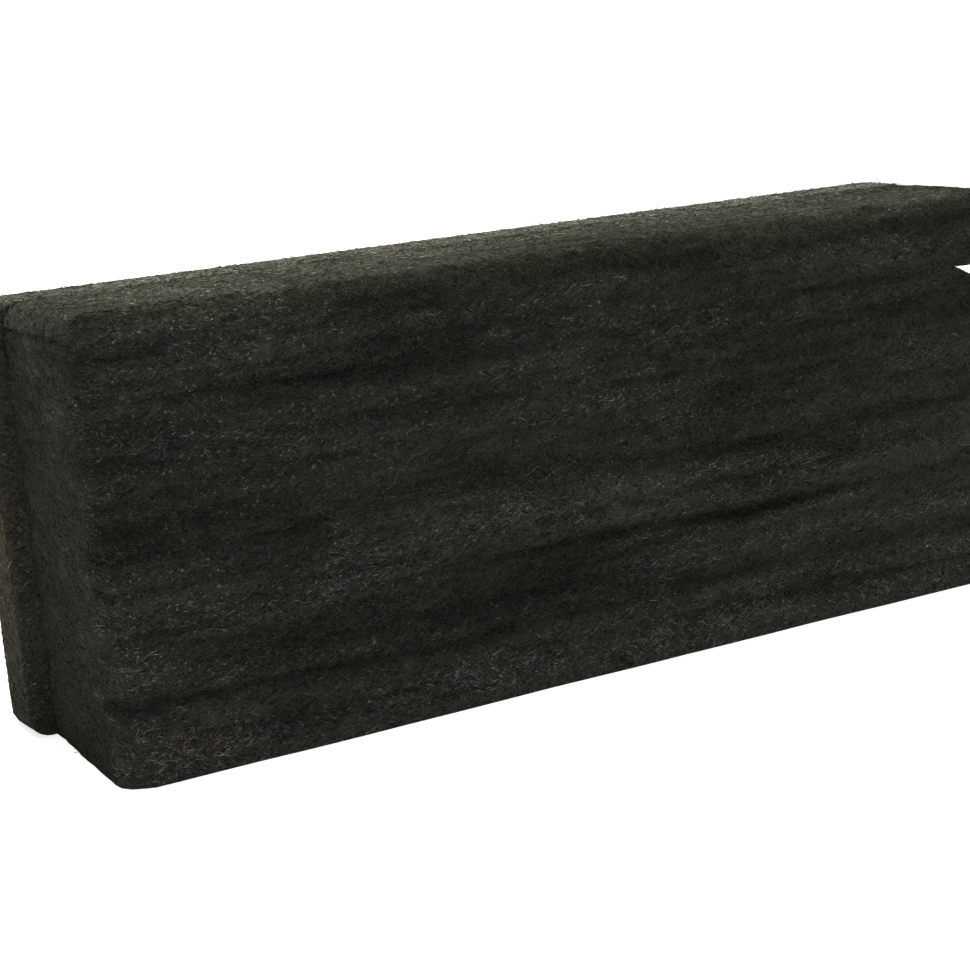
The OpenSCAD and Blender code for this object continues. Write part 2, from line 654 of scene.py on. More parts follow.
@dataclass(frozen=True)
class ThreadFinish:
    """Twisted sewing thread."""

    name: str = "sewing_thread"
    dark: Colour = (0.005, 0.005, 0.0045)
    light: Colour = (0.035, 0.035, 0.03)
    slant: float = 0.7
    twist_scale: float = 1500.0
    bump_mm: float = 0.05
    roughness: float = 0.6
    gloss: float = 0.2

    def make(self) -> bpy.types.Material:
        """Build the material.

        Returns:
            The material.
        """
        material, tree, shader = new_material(self.name)
        place = put(tree, "ShaderNodeTexCoord").outputs["Object"]
        feeds = {"Vector": place, "Rotation": (0.0, self.slant, 0.0)}
        turned = put(tree, "ShaderNodeMapping", feeds).outputs[0]
        feeds = {"Vector": turned, "Scale": self.twist_scale, "Distortion": 0.8, "Detail": 2.0}
        twist = put(tree, "ShaderNodeTexWave", feeds, bands_direction="X").outputs["Fac"]
        colour = blend_colours(tree, twist, rgba(self.dark), rgba(self.light))
        tree.links.new(colour, shader.inputs["Base Color"])
        feeds = {"Height": twist, "Distance": self.bump_mm * MM}
        relief = put(tree, "ShaderNodeBump", feeds).outputs["Normal"]
        tree.links.new(relief, shader.inputs["Normal"])
        shader.inputs["Roughness"].default_value = self.roughness
        shader.inputs["Specular IOR Level"].default_value = self.gloss
        return material


@dataclass(frozen=True)
class Finishes:
    """All the materials of the eraser."""

    felt: bpy.types.Material
    fibre: bpy.types.Material
    back: bpy.types.Material
    back_fibre: bpy.types.Material
    thread: bpy.types.Material

    @classmethod
    def make(cls) -> "Finishes":
        """Build every material once.

        Returns:
            The materials.
        """
        groups = WoolGroups(FeltGrain().build(), light_and_cut_group())
        felt = FeltFinish(
            "pad_felt",
            dark=(0.0185, 0.0194, 0.0161),
            light=(0.0346, 0.0357, 0.0295),
            fibre=(0.0988, 0.1014, 0.0835),
            fleck_a=(0.0297, 0.0357, 0.0203),
            fleck_b=(0.0312, 0.0295, 0.0335),
        )
        fibre = FibreFinish(
            "pad_fibre",
            dark=(0.0214, 0.0224, 0.0185),
            middle=(0.0403, 0.0415, 0.0343),
            light=(0.1152, 0.118, 0.0977),
            pale=(0.60, 0.59, 0.52),
        )
        sheet_tints = {"cut_tint": (1.6, 1.34, 1.08), "lit_top_tint": (1.12, 1.12, 1.02)}
        back = FeltFinish(
            "sheet_felt",
            dark=(0.0245, 0.0252, 0.0215),
            light=(0.048, 0.0485, 0.0415),
            fibre=(0.138, 0.138, 0.117),
            fleck_a=(0.054, 0.046, 0.034),
            fleck_b=(0.045, 0.049, 0.031),
            light_and_wear=1.8,
            **sheet_tints,
        )
        back_fibre = FibreFinish(
            "sheet_fibre",
            dark=(0.026, 0.0265, 0.0225),
            middle=(0.055, 0.055, 0.047),
            light=(0.16, 0.159, 0.135),
            pale=(0.60, 0.58, 0.50),
            **sheet_tints,
        )
        made = (finish.make(groups) for finish in (felt, fibre, back, back_fibre))
        return cls(*made, ThreadFinish().make())


# ---------------------------------------------------------------- fibres


class FibreBody(Enum):
    """How the body of a fibre is made."""

    SPIKE = "spike"
    TUBE = "tube"


class Draw(Enum):
    """The random numbers that a fibre draws, each with its own offset to the seed."""

    TURN = 1
    WAY = 2
    LENGTH = 3
    CURL = 4
    RISE = 5
    ARCH = 6
    TONE = 7
    RADIUS = 8


@dataclass(frozen=True)
class FuzzKind:
    """How one kind of fibre grows: fibres per square millimetre, and sizes in millimetres."""

    density: float
    length: float
    body: FibreBody = FibreBody.SPIKE
    spread: float = 0.7
    lift: float = 0.2
    curl: float = 1.4
    kink: float = 0.6
    radius: float = 0.03
    radius_spread: float = 0.4
    patches: float = 0.35
    light_and_wear: float = 0.4
    least_tone: float = 0.0
    bends: float = 3.0
    points: int = 4
    mask: str = "fuzz"

    def values(self) -> dict[str, Any]:
        """Value of each of the fuzz tree's inputs by its name, in metres.

        Returns:
            The values, without the seed and the material.
        """
        return {
            "Density": self.density / MM**2,
            "Length": self.length * MM,
            "Spread": self.spread,
            "Lift": self.lift,
            "Curl": self.curl,
            "Kink": self.kink,
            "Radius": self.radius * MM,
            "Radius Spread": self.radius_spread,
            "Patches": self.patches,
            "Light And Wear": self.light_and_wear,
            "Least Tone": self.least_tone,
            "Bends": self.bends,
            "Mask": self.mask,
            "Points": self.points,
        }


class FuzzTree:
    """Geometry Nodes tree that grows fibres out of a surface.

    It reads values that the surface carries: the mask that the input names, for how many fibres
    grow; "tangle", for how far they turn from the lie of the felt; "lit_and_worn", wear together
    with painted light and shade, which makes them paler; and "cut" and "faded", which it hands on
    to each fibre together with the fibre's own "tone".
    """

    NUMBERS = (
        "Density",
        "Length",
        "Spread",
        "Lift",
        "Curl",
        "Kink",
        "Radius",
        "Radius Spread",
        "Patches",
        "Light And Wear",
        "Least Tone",
        "Bends",
    )
    OTHERS = {"Mask": "String", "Points": "Int", "Seed": "Int", "Material": "Material"}
    KEPT = ("tone", "cut", "faded")
    PATCH_SCALE = 130.0
    RISE_POWER = 1.6
    ARCH = (1.4, 6.5)
    DRIFT = (0.3, 0.6, 0.8)
    DRIFT_APART = 2311.0
    ROOT_DEPTH = 0.02 * MM
    TAPER_POWER = 3.0
    TAPER = 0.6

    def __init__(self, body: FibreBody) -> None:
        """Build the tree for one kind of fibre body.

        Args:
            body: The kind of body.
        """
        self.body = body
        self.tree = bpy.data.node_groups.new("felt_fuzz_" + body.value, "GeometryNodeTree")
        add_inputs(self.tree, dict.fromkeys(self.NUMBERS, "Float") | self.OTHERS)
        self.given = put(self.tree, "NodeGroupInput").outputs
        self.build()

    def maths(self, operation: str, *values: Any, clamp: bool = False) -> Socket:
        """Add a Math node to this tree and give its result."""
        return maths(self.tree, operation, *values, clamp=clamp)

    def first(self, kind: str, feeds: dict[Any, Any] | None = None, **settings: Any) -> Socket:
        """Add a node to this tree and give its first output."""
        return put(self.tree, kind, feeds, **settings).outputs[0]

    def random(self, low: Any, high: Any, draw: Draw) -> Socket:
        """Draw a random number for each fibre.

        Args:
            low: Least value.
            high: Greatest value.
            draw: Which of a fibre's draws it is.

        Returns:
            The number.
        """
        seed = self.maths("ADD", self.given["Seed"], float(draw.value))
        feeds = {"Min_001": low, "Max_001": high, "Seed": seed}
        return put(self.tree, "FunctionNodeRandomValue", feeds, data_type="FLOAT").outputs[1]

    def about_one(self, spread: Any, draw: Draw) -> Socket:
        """Give a random number about 1 for each fibre, spread to both sides."""
        return self.maths("ADD", 1.0, self.maths("MULTIPLY", spread, self.random(-1.0, 1.0, draw)))

    def carried(self, name: Any) -> Socket:
        """Read a number that is stored on the surface."""
        return self.first("GeometryNodeInputNamedAttribute", {"Name": name}, data_type="FLOAT")

    def tone(self, where: Socket) -> Socket:
        """Give each fibre a tone: random, patchy, and paler where lit_and_worn, the felt's wear
        with painted light and shade, is high.

        Args:
            where: Place of its root.

        Returns:
            The tone, from 0 for dark to 1 for pale.
        """
        feeds = {"Vector": where, "Scale": self.PATCH_SCALE, "Detail": 3.0}
        patch = put(self.tree, "ShaderNodeTexNoise", feeds).outputs["Fac"]
        patch = self.maths("MULTIPLY", self.maths("SUBTRACT", patch, 0.5), self.given["Patches"])
        # Fibres are paler or darker by lit_and_worn, which is wear together with painted light and
        # shade.
        lit_and_worn = self.maths("SUBTRACT", self.carried("lit_and_worn"), 0.5)
        lit_and_worn = self.maths("MULTIPLY", lit_and_worn, self.given["Light And Wear"])
        own = self.random(self.given["Least Tone"], 1.0, Draw.TONE)
        return self.maths("ADD", own, self.maths("ADD", patch, lit_and_worn), clamp=True)

    def scatter(self) -> tuple[Socket, dict[str, Socket]]:
        """Scatter the roots of the fibres and settle how each one grows.

        Returns:
            The points, and for each a set of values by name that later geometry keeps.
        """
        tree, given = self.tree, self.given
        density = self.maths("MULTIPLY", self.carried(given["Mask"]), given["Density"])
        feeds = {"Mesh": given["Geometry"], "Density": density, "Seed": given["Seed"]}
        kind = "GeometryNodeDistributePointsOnFaces"
        spots = put(tree, kind, feeds, distribute_method="RANDOM").outputs
        normal = spots["Normal"]
        split = put(tree, "ShaderNodeSeparateXYZ", {"Vector": normal}).outputs
        facing_end = self.maths("ABSOLUTE", split["X"])
        feeds = {"Factor_Float": facing_end, "A_Vector": (1, 0, 0), "B_Vector": (0, 1, 0)}
        lie = put(tree, "ShaderNodeMix", feeds, data_type="VECTOR").outputs[1]
        across = vector_maths(tree, "NORMALIZE", vector_maths(tree, "CROSS_PRODUCT", normal, lie))
        turn = self.maths("MULTIPLY", self.carried("tangle"), self.random(-1.0, 1.0, Draw.TURN))
        feeds = {"Vector": across, "Axis": normal, "Angle": turn}
        side = self.first("ShaderNodeVectorRotate", feeds, rotation_type="AXIS_ANGLE")
        ahead = vector_maths(tree, "CROSS_PRODUCT", side, normal)
        way = self.maths("SIGN", self.random(-1.0, 1.0, Draw.WAY))
        where = self.first("GeometryNodeInputPosition")
        rise = self.maths("POWER", self.random(0.0, 1.0, Draw.RISE), self.RISE_POWER)
        length = self.about_one(given["Spread"], Draw.LENGTH)
        curl = self.random(-1.0, 1.0, Draw.CURL)
        kept = put(tree, "GeometryNodeCaptureAttribute", {"Geometry": spots["Points"]})
        saved: dict[str, Socket] = {}
        for name, kind, value in (
            ("origin", "VECTOR", where),
            ("normal", "VECTOR", normal),
            ("side", "VECTOR", side),
            ("ahead", "VECTOR", scaled(tree, ahead, way)),
            ("length", "FLOAT", self.maths("MULTIPLY", given["Length"], length)),
            ("curl", "FLOAT", self.maths("MULTIPLY", given["Curl"], curl)),
            ("lift", "FLOAT", self.maths("MULTIPLY", given["Lift"], rise)),
            ("arch", "FLOAT", self.random(*self.ARCH, Draw.ARCH)),
            ("tone", "FLOAT", self.tone(where)),
            ("thick", "FLOAT", self.about_one(given["Radius Spread"], Draw.RADIUS)),
            ("cut", "FLOAT", self.carried("cut")),
            ("faded", "FLOAT", self.carried("faded")),
        ):
            kept.capture_items.new(kind, name)
            tree.links.new(value, kept.inputs[len(saved) + 1])
            saved[name] = kept.outputs[len(saved) + 1]
        return kept.outputs["Geometry"], saved

    def centre_line(self, saved: dict[str, Socket], t: Socket) -> Socket:
        """Draw the curve that a fibre follows.

        Args:
            saved: Values of each fibre.
            t: Place along the fibre, from 0 at the root to 1 at the tip.

        Returns:
            The place on the curve.
        """
        tree = self.tree
        angle = self.maths("MULTIPLY", saved["curl"], self.maths("MULTIPLY", t, 0.5))
        reach = self.maths("MULTIPLY", saved["length"], t)
        rise = self.maths("SINE", self.maths("MULTIPLY", saved["arch"], t))
        rise = self.maths("MULTIPLY", self.maths("MULTIPLY", saved["length"], saved["lift"]), rise)
        drift = scaled(tree, self.DRIFT, self.maths("MULTIPLY", t, self.given["Bends"]))
        drift = vector_maths(tree, "ADD", drift, scaled(tree, saved["origin"], self.DRIFT_APART))
        feeds = {"Vector": drift, "Scale": 1.0, "Detail": 0.0}
        wild = put(tree, "ShaderNodeTexNoise", feeds).outputs["Color"]
        wild = vector_maths(tree, "SUBTRACT", wild, (0.5, 0.5, 0.5))
        place = scaled(tree, wild, self.maths("MULTIPLY", reach, self.given["Kink"]))
        for axis, amount in (
            ("ahead", self.maths("MULTIPLY", reach, self.maths("COSINE", angle))),
            ("side", self.maths("MULTIPLY", reach, self.maths("SINE", angle))),
            ("normal", self.maths("SUBTRACT", rise, self.ROOT_DEPTH)),
        ):
            place = vector_maths(tree, "ADD", place, scaled(tree, saved[axis], amount))
        return vector_maths(tree, "ADD", place, saved["origin"])

    def plant(self, roots: Socket, body: Socket) -> Socket:
        """Put a copy of a fibre's straight body on every root."""
        copies = self.first("GeometryNodeInstanceOnPoints", {"Points": roots, "Instance": body})
        return self.first("GeometryNodeRealizeInstances", {"Geometry": copies})

    def move(self, fibres: Socket, place: Socket) -> Socket:
        """Move the points of the fibres to their places."""
        return self.first("GeometryNodeSetPosition", {"Geometry": fibres, "Position": place})

    def spikes(self, roots: Socket, saved: dict[str, Socket]) -> Socket:
        """Grow three-sided spikes.

        Args:
            roots: The points that they grow from.
            saved: Values of each fibre.

        Returns:
            Their mesh.
        """
        tree, given = self.tree, self.given
        feeds = {"Vertices": 3, "Side Segments": self.maths("SUBTRACT", given["Points"], 1.0)}
        feeds |= {"Radius Top": 0.0, "Radius Bottom": given["Radius"], "Depth": 1.0}
        spike = self.first("GeometryNodeMeshCone", feeds)
        shape = put(tree, "GeometryNodeCaptureAttribute", {"Geometry": spike})
        shape.capture_items.new("VECTOR", "local")
        tree.links.new(self.first("GeometryNodeInputPosition"), shape.inputs[1])
        local = put(tree, "ShaderNodeSeparateXYZ", {"Vector": shape.outputs[1]}).outputs
        fibres = self.plant(roots, shape.outputs[0])
        place = self.centre_line(saved, local["Z"])
        for axis, amount in (("side", local["X"]), ("normal", local["Y"])):
            amount = self.maths("MULTIPLY", amount, saved["thick"])
            place = vector_maths(tree, "ADD", place, scaled(tree, saved[axis], amount))
        return self.keep_values(self.move(fibres, place), saved)

    def tubes(self, roots: Socket, saved: dict[str, Socket]) -> Socket:
        """Grow long three-sided tubes that taper towards their tips.

        Args:
            roots: The points that they grow from.
            saved: Values of each fibre.

        Returns:
            Their mesh.
        """
        line = self.first("GeometryNodeCurvePrimitiveLine", {"End": (1.0, 0.0, 0.0)})
        feeds = {"Curve": line, "Count": self.given["Points"]}
        fibres = self.plant(roots, self.first("GeometryNodeResampleCurve", feeds))
        t = put(self.tree, "GeometryNodeSplineParameter").outputs["Factor"]
        fibres = self.keep_values(self.move(fibres, self.centre_line(saved, t)), saved)
        feeds = {"Resolution": 3, "Radius": self.given["Radius"]}
        ring = self.first("GeometryNodeCurvePrimitiveCircle", feeds)
        thinner = self.maths("MULTIPLY", self.maths("POWER", t, self.TAPER_POWER), self.TAPER)
        feeds = {"Curve": fibres, "Profile Curve": ring, "Fill Caps": True}
        feeds |= {"Scale": self.maths("SUBTRACT", 1.0, thinner)}
        return self.first("GeometryNodeCurveToMesh", feeds)

    def keep_values(self, fibres: Socket, saved: dict[str, Socket]) -> Socket:
        """Store what the fibre finish reads on the fibres.

        Args:
            fibres: The fibres.
            saved: Values of each fibre.

        Returns:
            The fibres with those values.
        """
        for name in self.KEPT:
            feeds = {"Geometry": fibres, "Name": name, "Value": saved[name]}
            kind = "GeometryNodeStoreNamedAttribute"
            fibres = self.first(kind, feeds, data_type="FLOAT", domain="POINT")
        return fibres

    def build(self) -> None:
        """Lay out the tree: scatter the roots, grow a body on each, give it its finish."""
        grow = self.spikes if self.body is FibreBody.SPIKE else self.tubes
        fibres = self.first("GeometryNodeRealizeInstances", {"Geometry": grow(*self.scatter())})
        feeds = {"Geometry": fibres, "Material": self.given["Material"]}
        put(self.tree, "NodeGroupOutput", {0: self.first("GeometryNodeSetMaterial", feeds)})


class Fuzz:
    """Grows fibres on pieces, with one tree for each kind of fibre body."""

    def __init__(self) -> None:
        """Build the trees."""
        self.trees = {body: FuzzTree(body) for body in FibreBody}

    def grow(
        self, name: str, carrier: Piece, kind: FuzzKind, seed: int, material: bpy.types.Material
    ) -> Piece:
        """Grow fibres on a piece.

        Args:
            name: Name of the new piece.
            carrier: Piece that the fibres grow on, with the values that the tree reads.
            kind: How they grow.
            seed: Start of the random draws.
            material: Finish of the fibres.

        Returns:
            The fibres as a piece with a plain mesh.
        """
        values = kind.values() | {"Seed": seed, "Material": material}
        return evaluate(name, carrier.data, self.trees[kind.body].tree, values)


# ---------------------------------------------------------------- the pad of folded strips


@dataclass(frozen=True)
class Parting:
    """A place along the line under a strip where the felt stands open, sinks in or drifts."""

    under: int
    along: float
    spread: float
    opening: float = 0.0
    dip: float = 0.0
    drop: float = 0.0


@dataclass
class PadForm:
    """Shape of the wiping face: where each ply ends, in millimetres.

    Plies are numbered from 0 at the top, and line b lies between ply b - 1 and ply b.
    """

    slit: float = 0.3
    # lines between the plies: how wide they stand open and how far they wander
    face_slit: float = 0.002
    face_gap: float = 0.01
    least_gap: float = 0.005
    gap_share: float = 0.4
    gap_swing: float = 1.6
    slit_drift: float = 1.3
    wander: float = 0.5
    wavelengths: tuple[tuple[int, float], ...] = ((95, 0.5), (41, 0.35), (19, 0.2), (9, 0.07))
    # seeds of the drifts: gaps, ply depths, and the small waves of the depths
    gap_seed: int = 40
    depth_seed: int = 60
    ripple_seed: int = 90
    # right end: the top strip's nose droops and the strip under it is pressed thin
    nose_droop: float = 0.2
    nose_length: float = 12.0
    thin_strip: int = 2
    thin_from: float = 51.9
    thin_share: float = 0.56
    # soft valleys along the lines, and how they fade towards the ends
    valleys: tuple[float, ...] = (0, 0, 0.04, 0, 0.08, 0, 0.16, 0, 0.14, 0, 0.14, 0.08, 0)
    valley_swing: float = 1.8
    end_fade: float = 0.6
    end_fade_length: float = 8.0
    left_calm: float = 0.45
    left_calm_length: float = 48.0
    # how far back the upper and lower edge of each ply lies
    set_back: tuple[tuple[float, float], ...] = (
        (0.5, 0.35),
        (0.35, 0.05),
        (0.4, 0.4),
        (0.4, 0.3),
        (0.4, 0.35),
        (0.35, 0.4),
        (0.45, 0.15),
        (0.15, 0.0),
        (0.4, 0.35),
        (0.35, 0.35),
        (0.35, 0.15),
        (0.1, -0.25),
    )
    set_back_swing: float = 0.8
    ripple: float = 0.22
    step_share: float = 0.4
    partings: tuple[Parting, ...] = (
        Parting(1, -42, 24, dip=0.05, drop=1.0),
        Parting(1, 20, 40, drop=0.5),
        Parting(2, -10, 80, drop=-0.3),
        Parting(2, 50, 20, dip=0.2),
        Parting(3, -44, 11, opening=0.04, dip=0.25, drop=0.9),
        Parting(3, 0, 60, drop=0.3),
        Parting(4, 17, 9, opening=0.1, dip=0.8, drop=1.0),
        Parting(4, -5, 12, dip=0.2),
        Parting(5, 20, 45, dip=0.1, drop=0.2),
    )

    def __post_init__(self) -> None:
        """Read the box of each strip."""
        self.ply_count = len(self.set_back)
        boxes = [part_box(f"felt_fold_{i}") for i in range(1, self.ply_count // 2 + 1)]
        self.strips = [(low.z / MM, high.z / MM) for low, high in boxes]
        low, high = boxes[0]
        self.half_len = high.x / MM
        self.front = low.y / MM
        self.depth = (high.y - low.y) / MM
        self.strip_h = (high.z - low.z) / MM
        self.ply = (self.strip_h - self.slit) / 2
        self.strip_gap = self.strips[0][0] - self.strips[1][1]
        self.top = high.z / MM

    def line(self, b: int, x: Array) -> tuple[Array, Array]:
        """Follow the line between two plies along the wiping face.

        Args:
            b: Number of the line: 0 is the top side and ply_count the bottom side.
            x: Places along the eraser.

        Returns:
            The line's height and the width of its gap at each place.
        """
        none = np.zeros_like(x)
        if b == 0:
            nose = smooth((x - self.half_len + self.nose_length) / self.nose_length)
            return none + self.top - self.nose_droop * nose, none
        if b == self.ply_count:
            return none, none
        if b % 2:
            above, gap_above = self.line(b - 1, x)
            below, gap_below = self.line(b + 1, x)
            middle = (above - gap_above / 2 + below + gap_below / 2) / 2
            return middle + self.waves(b, x) * self.slit_drift, none + self.face_slit
        height = (self.strips[b // 2 - 1][0] + self.strips[b // 2][1]) / 2 + self.waves(b, x)
        swing = self.gap_swing * self.waves(b + self.gap_seed, x) / self.wander
        gap = self.face_gap * (self.gap_share + swing)
        for p in self.partings:
            if p.under == b // 2:
                shape = bell(x, p.along, p.spread)
                height = height - p.drop * shape
                gap = np.maximum(gap, 0.0) + p.opening * shape
        return height, np.maximum(gap, self.least_gap)

    def hollow(self, b: int, x: Array) -> Array:
        """Find how deep the soft valley along a line is.

        Args:
            b: Number of the line.
            x: Places along the eraser.

        Returns:
            The depth at each place.
        """
        depth = self.valleys[b] * (1 + self.valley_swing * self.waves(b + self.gap_seed, x))
        for p in self.partings:
            if 2 * p.under == b:
                depth = depth + p.dip * bell(x, p.along, p.spread)
        at_left = 1 - smooth((x + self.half_len) / self.left_calm_length)
        from_end = np.abs(x) - self.half_len + self.end_fade_length
        ends = 1 - self.end_fade * smooth(from_end / self.end_fade_length)
        return np.maximum(depth, 0.0) * ends * (1 - self.left_calm * at_left)

    def thinning(self, number: int, x: Array) -> Array:
        """Find the share of a strip's height that is lost, where its end is pressed thin.

        Args:
            number: Number of the strip.
            x: Places along the eraser.

        Returns:
            The share at each place.
        """
        if number != self.thin_strip:
            return np.zeros_like(x)
        share = np.clip((x - self.thin_from) / (self.half_len - self.thin_from), 0, 1)
        return self.thin_share * share

    def waves(self, seed: int, x: Array) -> Array:
        """Draw a slow drift, the same for a seed each time.

        Args:
            seed: Start of the random draws.
            x: Places along the eraser.

        Returns:
            The drift at each place.
        """
        r = np.random.default_rng(seed)
        total = np.zeros_like(x)
        for wavelength, share in self.wavelengths:
            total = total + share * np.sin(2 * np.pi * x / wavelength + r.uniform(0, 6.3))
        return self.wander * total

    def own_depth(self, ply: int, x: Array, lower: bool) -> Array:
        """Find how far back a ply's edge would lie by itself.

        Args:
            ply: Number of the ply.
            x: Places along the eraser.
            lower: Whether the lower edge is meant.

        Returns:
            The depth at each place.
        """
        edge = ply + lower
        share = 1 + self.set_back_swing * self.waves(edge + self.depth_seed, x)
        ripple = self.waves(edge + self.ripple_seed, x) * self.ripple
        return self.set_back[ply][lower] * share + ripple

    def behind(self, ply: int, x: Array, lower: bool) -> Array:
        """Find how far a ply's edge lies behind the foremost edges.

        Args:
            ply: Number of the ply.
            x: Places along the eraser.
            lower: Whether the lower edge is meant.

        Returns:
            The depth at each place, drawn most of the way to the edge that faces it, as matted
            felt is.
        """
        if not 0 <= ply < self.ply_count:
            return np.zeros_like(x)
        own = self.own_depth(ply, x, lower)
        other = ply + 1 if lower else ply - 1
        facing = self.own_depth(other, x, not lower) if 0 <= other < self.ply_count else own
        return (own + facing + self.step_share * (own - facing)) / 2


@dataclass
class Skin:
    """The skin of a strip while it takes its shape, with one value for each point in each array.

    x lies along the strip, y back from the wiping face and z upwards, in millimetres. n lies
    across the felt, from -1 inside the fold to 1 outside it. back is how far a point of a ply
    lies behind the face, and angle turns once round the fold. matted falls from 1 at the face
    to 0, shut rises to 1 where the plies close up at the ends, and inset is what the rounded
    ends lose.
    """

    faces: Faces
    x: Array
    n: Array
    upper: Array
    straight: Array
    angle: Array
    back: Array
    matted: Array
    shut: Array
    inset: Array
    at_face: Array
    at_end: Array
    outer_side: Array

    def __post_init__(self) -> None:
        """Start the values that the shaping fills in."""
        self.y = np.zeros_like(self.x)
        self.z = np.zeros_like(self.x)
        self.lit_and_worn = np.full_like(self.x, 0.5)
        self.lit_top = np.zeros_like(self.x)


@dataclass
class FoldedStrip:
    """One felt strip, folded along its length, with two plies that end at the wiping face."""

    number: int
    form: PadForm
    straight_cells: int = 12
    bend_cells: int = 8
    thick_cells: int = 18
    spacing: float = 0.6
    crowding: float = 1.6
    # the rounded ends, and how the plies close up there
    end_round: float = 0.06
    end_stations: int = 5
    end_pinch: float = 2.0
    plan_round: float = 3.2
    plan_reach: float = 14.0
    left_round: float = 3.0
    right_round: float = 1.0
    # the tips of the plies at the wiping face
    matted_share: float = 0.85
    tip_power: float = 6.0
    tip_softening: float = 3.0
    tip_powers: tuple[float, float] = (2.4, 5.0)
    dent_from: float = 0.3
    dent_width: float = 0.6
    lip_depth: float = 0.5
    top_edge_depth: float = 3.4
    top_edge_power: float = 2.2
    bottom_edge_depth: float = 0.02
    bend_power: float = 24.0
    # bumps of the felt and streaks of its cut edges
    lump: float = 0.2
    streak: float = 0.42
    fine_streak: float = 0.35
    streaks: Pattern = ((0.03, 0.3, 0.42), 31.7)
    fine_streaks: Pattern = ((0.12, 0.5, 1.0), 31.7)
    lumps: Pattern = ((0.35, 0.8, 0.9), 35.0)
    lifts: Pattern = ((0.12, 0.3, 0.5), 40.8)
    ripples: Pattern = ((0.5, 0.4, 0.3), 53.0)
    ripple: float = 0.12
    most_outwards: float = 0.1
    rough_end: float = 1.5
    calm_foot: float = 2.5
    # how fuzzy the felt is, its wear with painted light and shade, and the painted light on its top
    clumps: Pattern = ((0.05, 0.3, 0.35), 51.3)
    clump_gain: float = 3.0
    clump_limits: tuple[float, float] = (0.45, 2.4)
    fuzz_depth: float = 1.0
    fuzz_fade: float = 0.8
    fuzz_foot: float = 1.2
    fuzz_on_top: float = 0.62
    fuzz_below: float = 0.12
    fuzz_at_end: float = 0.5
    tangle: float = 0.7
    tangle_at_end: float = 0.5
    middle_wear: float = 0.5
    face_wear: float = 0.3
    # painted light: the wiping face is lighter towards the floor
    low_shading: float = 0.25
    end_tone: float = -0.12
    end_mottle: float = 1.2
    mottles: Pattern = ((0.3, 0.2, 0.4), 77.1)
    fine_mottles: Pattern = ((0.3, 0.5, 1.1), 78.3)
    fine_mottle: float = 0.6
    # painted light on the top of the strip: how much, how it falls towards the right, its margin at
    # the ends, where it lies across the felt and round the fold, and how much it lifts lit_and_worn
    lit_top_level: float = 0.9
    lit_top_slope: float = 0.35
    lit_top_margin: float = 12.0
    lit_top_across: tuple[float, float] = (-0.3, 1.2)
    lit_top_round_fold: tuple[float, float] = (0.5, 0.15)
    lit_top_lift: float = 0.2
    nap: FuzzKind = FuzzKind(density=12.0, length=0.5, points=2, lift=0.35, radius=0.05)
    hair: FuzzKind = FuzzKind(density=2.6, length=1.4, radius=0.026, curl=2.0)
    lint: FuzzKind = FuzzKind(
        density=0.03, length=0.7, radius=0.05, curl=3.0, least_tone=0.97, patches=0.0
    )
    strays: FuzzKind = FuzzKind(
        density=0.03,
        length=5.5,
        least_tone=0.6,
        body=FibreBody.TUBE,
        curl=3.5,
        kink=0.5,
        bends=9.0,
        lift=0.1,
        radius=0.018,
        points=20,
        patches=0.0,
        mask="loose",
    )

    def __post_init__(self) -> None:
        """Find where the strip lies and where its fold begins."""
        self.low, high = self.form.strips[self.number - 1]
        self.centre = (self.low + high) / 2
        self.y_bend = self.form.depth - self.form.strip_h / 2

    def stations(self) -> Array:
        """Choose places along the strip.

        Returns:
            The places, closer together in the rounded ends.
        """
        half = self.form.half_len
        arc = self.end_round * (1 - np.cos(np.linspace(0, np.pi / 2, self.end_stations)))[1:]
        count = round(2 * (half - self.end_round) / self.spacing)
        middle = np.linspace(-half + self.end_round, half - self.end_round, count + 1)
        ends = (half - arc[:-1])[::-1]
        return np.concatenate([[-half], -half + arc[:-1], middle, ends, [half]])

    def lay_out(self) -> Skin:
        """Lay out the skin before it takes its shape.

        Returns:
            The skin, with the values that follow from where a point is on the felt.
        """
        f = self.form
        xs = self.stations()
        cells = (2 * self.straight_cells + self.bend_cells, self.thick_cells, len(xs) - 1)
        places, faces = lattice(cells)
        iu, iv, iw = places.T
        x = xs[iw]
        from_face = np.minimum(iu, cells[0] - iu)
        step = from_face / self.straight_cells
        straight = step < 1
        back = self.y_bend * np.clip(step, 0, 1) ** self.crowding
        past = np.maximum(0.0, self.end_round - (f.half_len - np.abs(x)))
        inset = arc_drop(self.end_round, past)
        n = np.sin(np.pi / 2 * (2 * iv / self.thick_cells - 1))
        return Skin(
            faces=faces,
            x=x,
            n=n * (1 - inset / (f.ply / 2)),
            upper=iu <= cells[0] // 2,
            straight=straight,
            angle=np.pi * np.clip((iu - self.straight_cells) / self.bend_cells, 0, 1),
            back=back,
            matted=smooth(1 - back / (self.matted_share * self.y_bend)) * straight,
            shut=ease(np.abs(x), f.half_len - self.end_pinch, self.end_pinch),
            inset=inset,
            at_face=from_face == 0,
            at_end=(iw <= 1) | (iw >= cells[2] - 1),
            outer_side=iv == self.thick_cells,
        )

    def tip(self, n: Array, outer: Array, inner: Array) -> Array:
        """Find how far back the rounded end of a ply lies.

        Args:
            n: Places across the ply.
            outer: Depth of the end's outer edge.
            inner: Depth of its inner edge.

        Returns:
            The depth at each place.
        """
        depth = np.where(n > 0, outer, inner)
        power = np.clip(self.tip_power - self.tip_softening * depth, *self.tip_powers)
        return depth * (1 - np.sqrt(np.clip(1 - np.abs(n) ** power, 0, 1)))

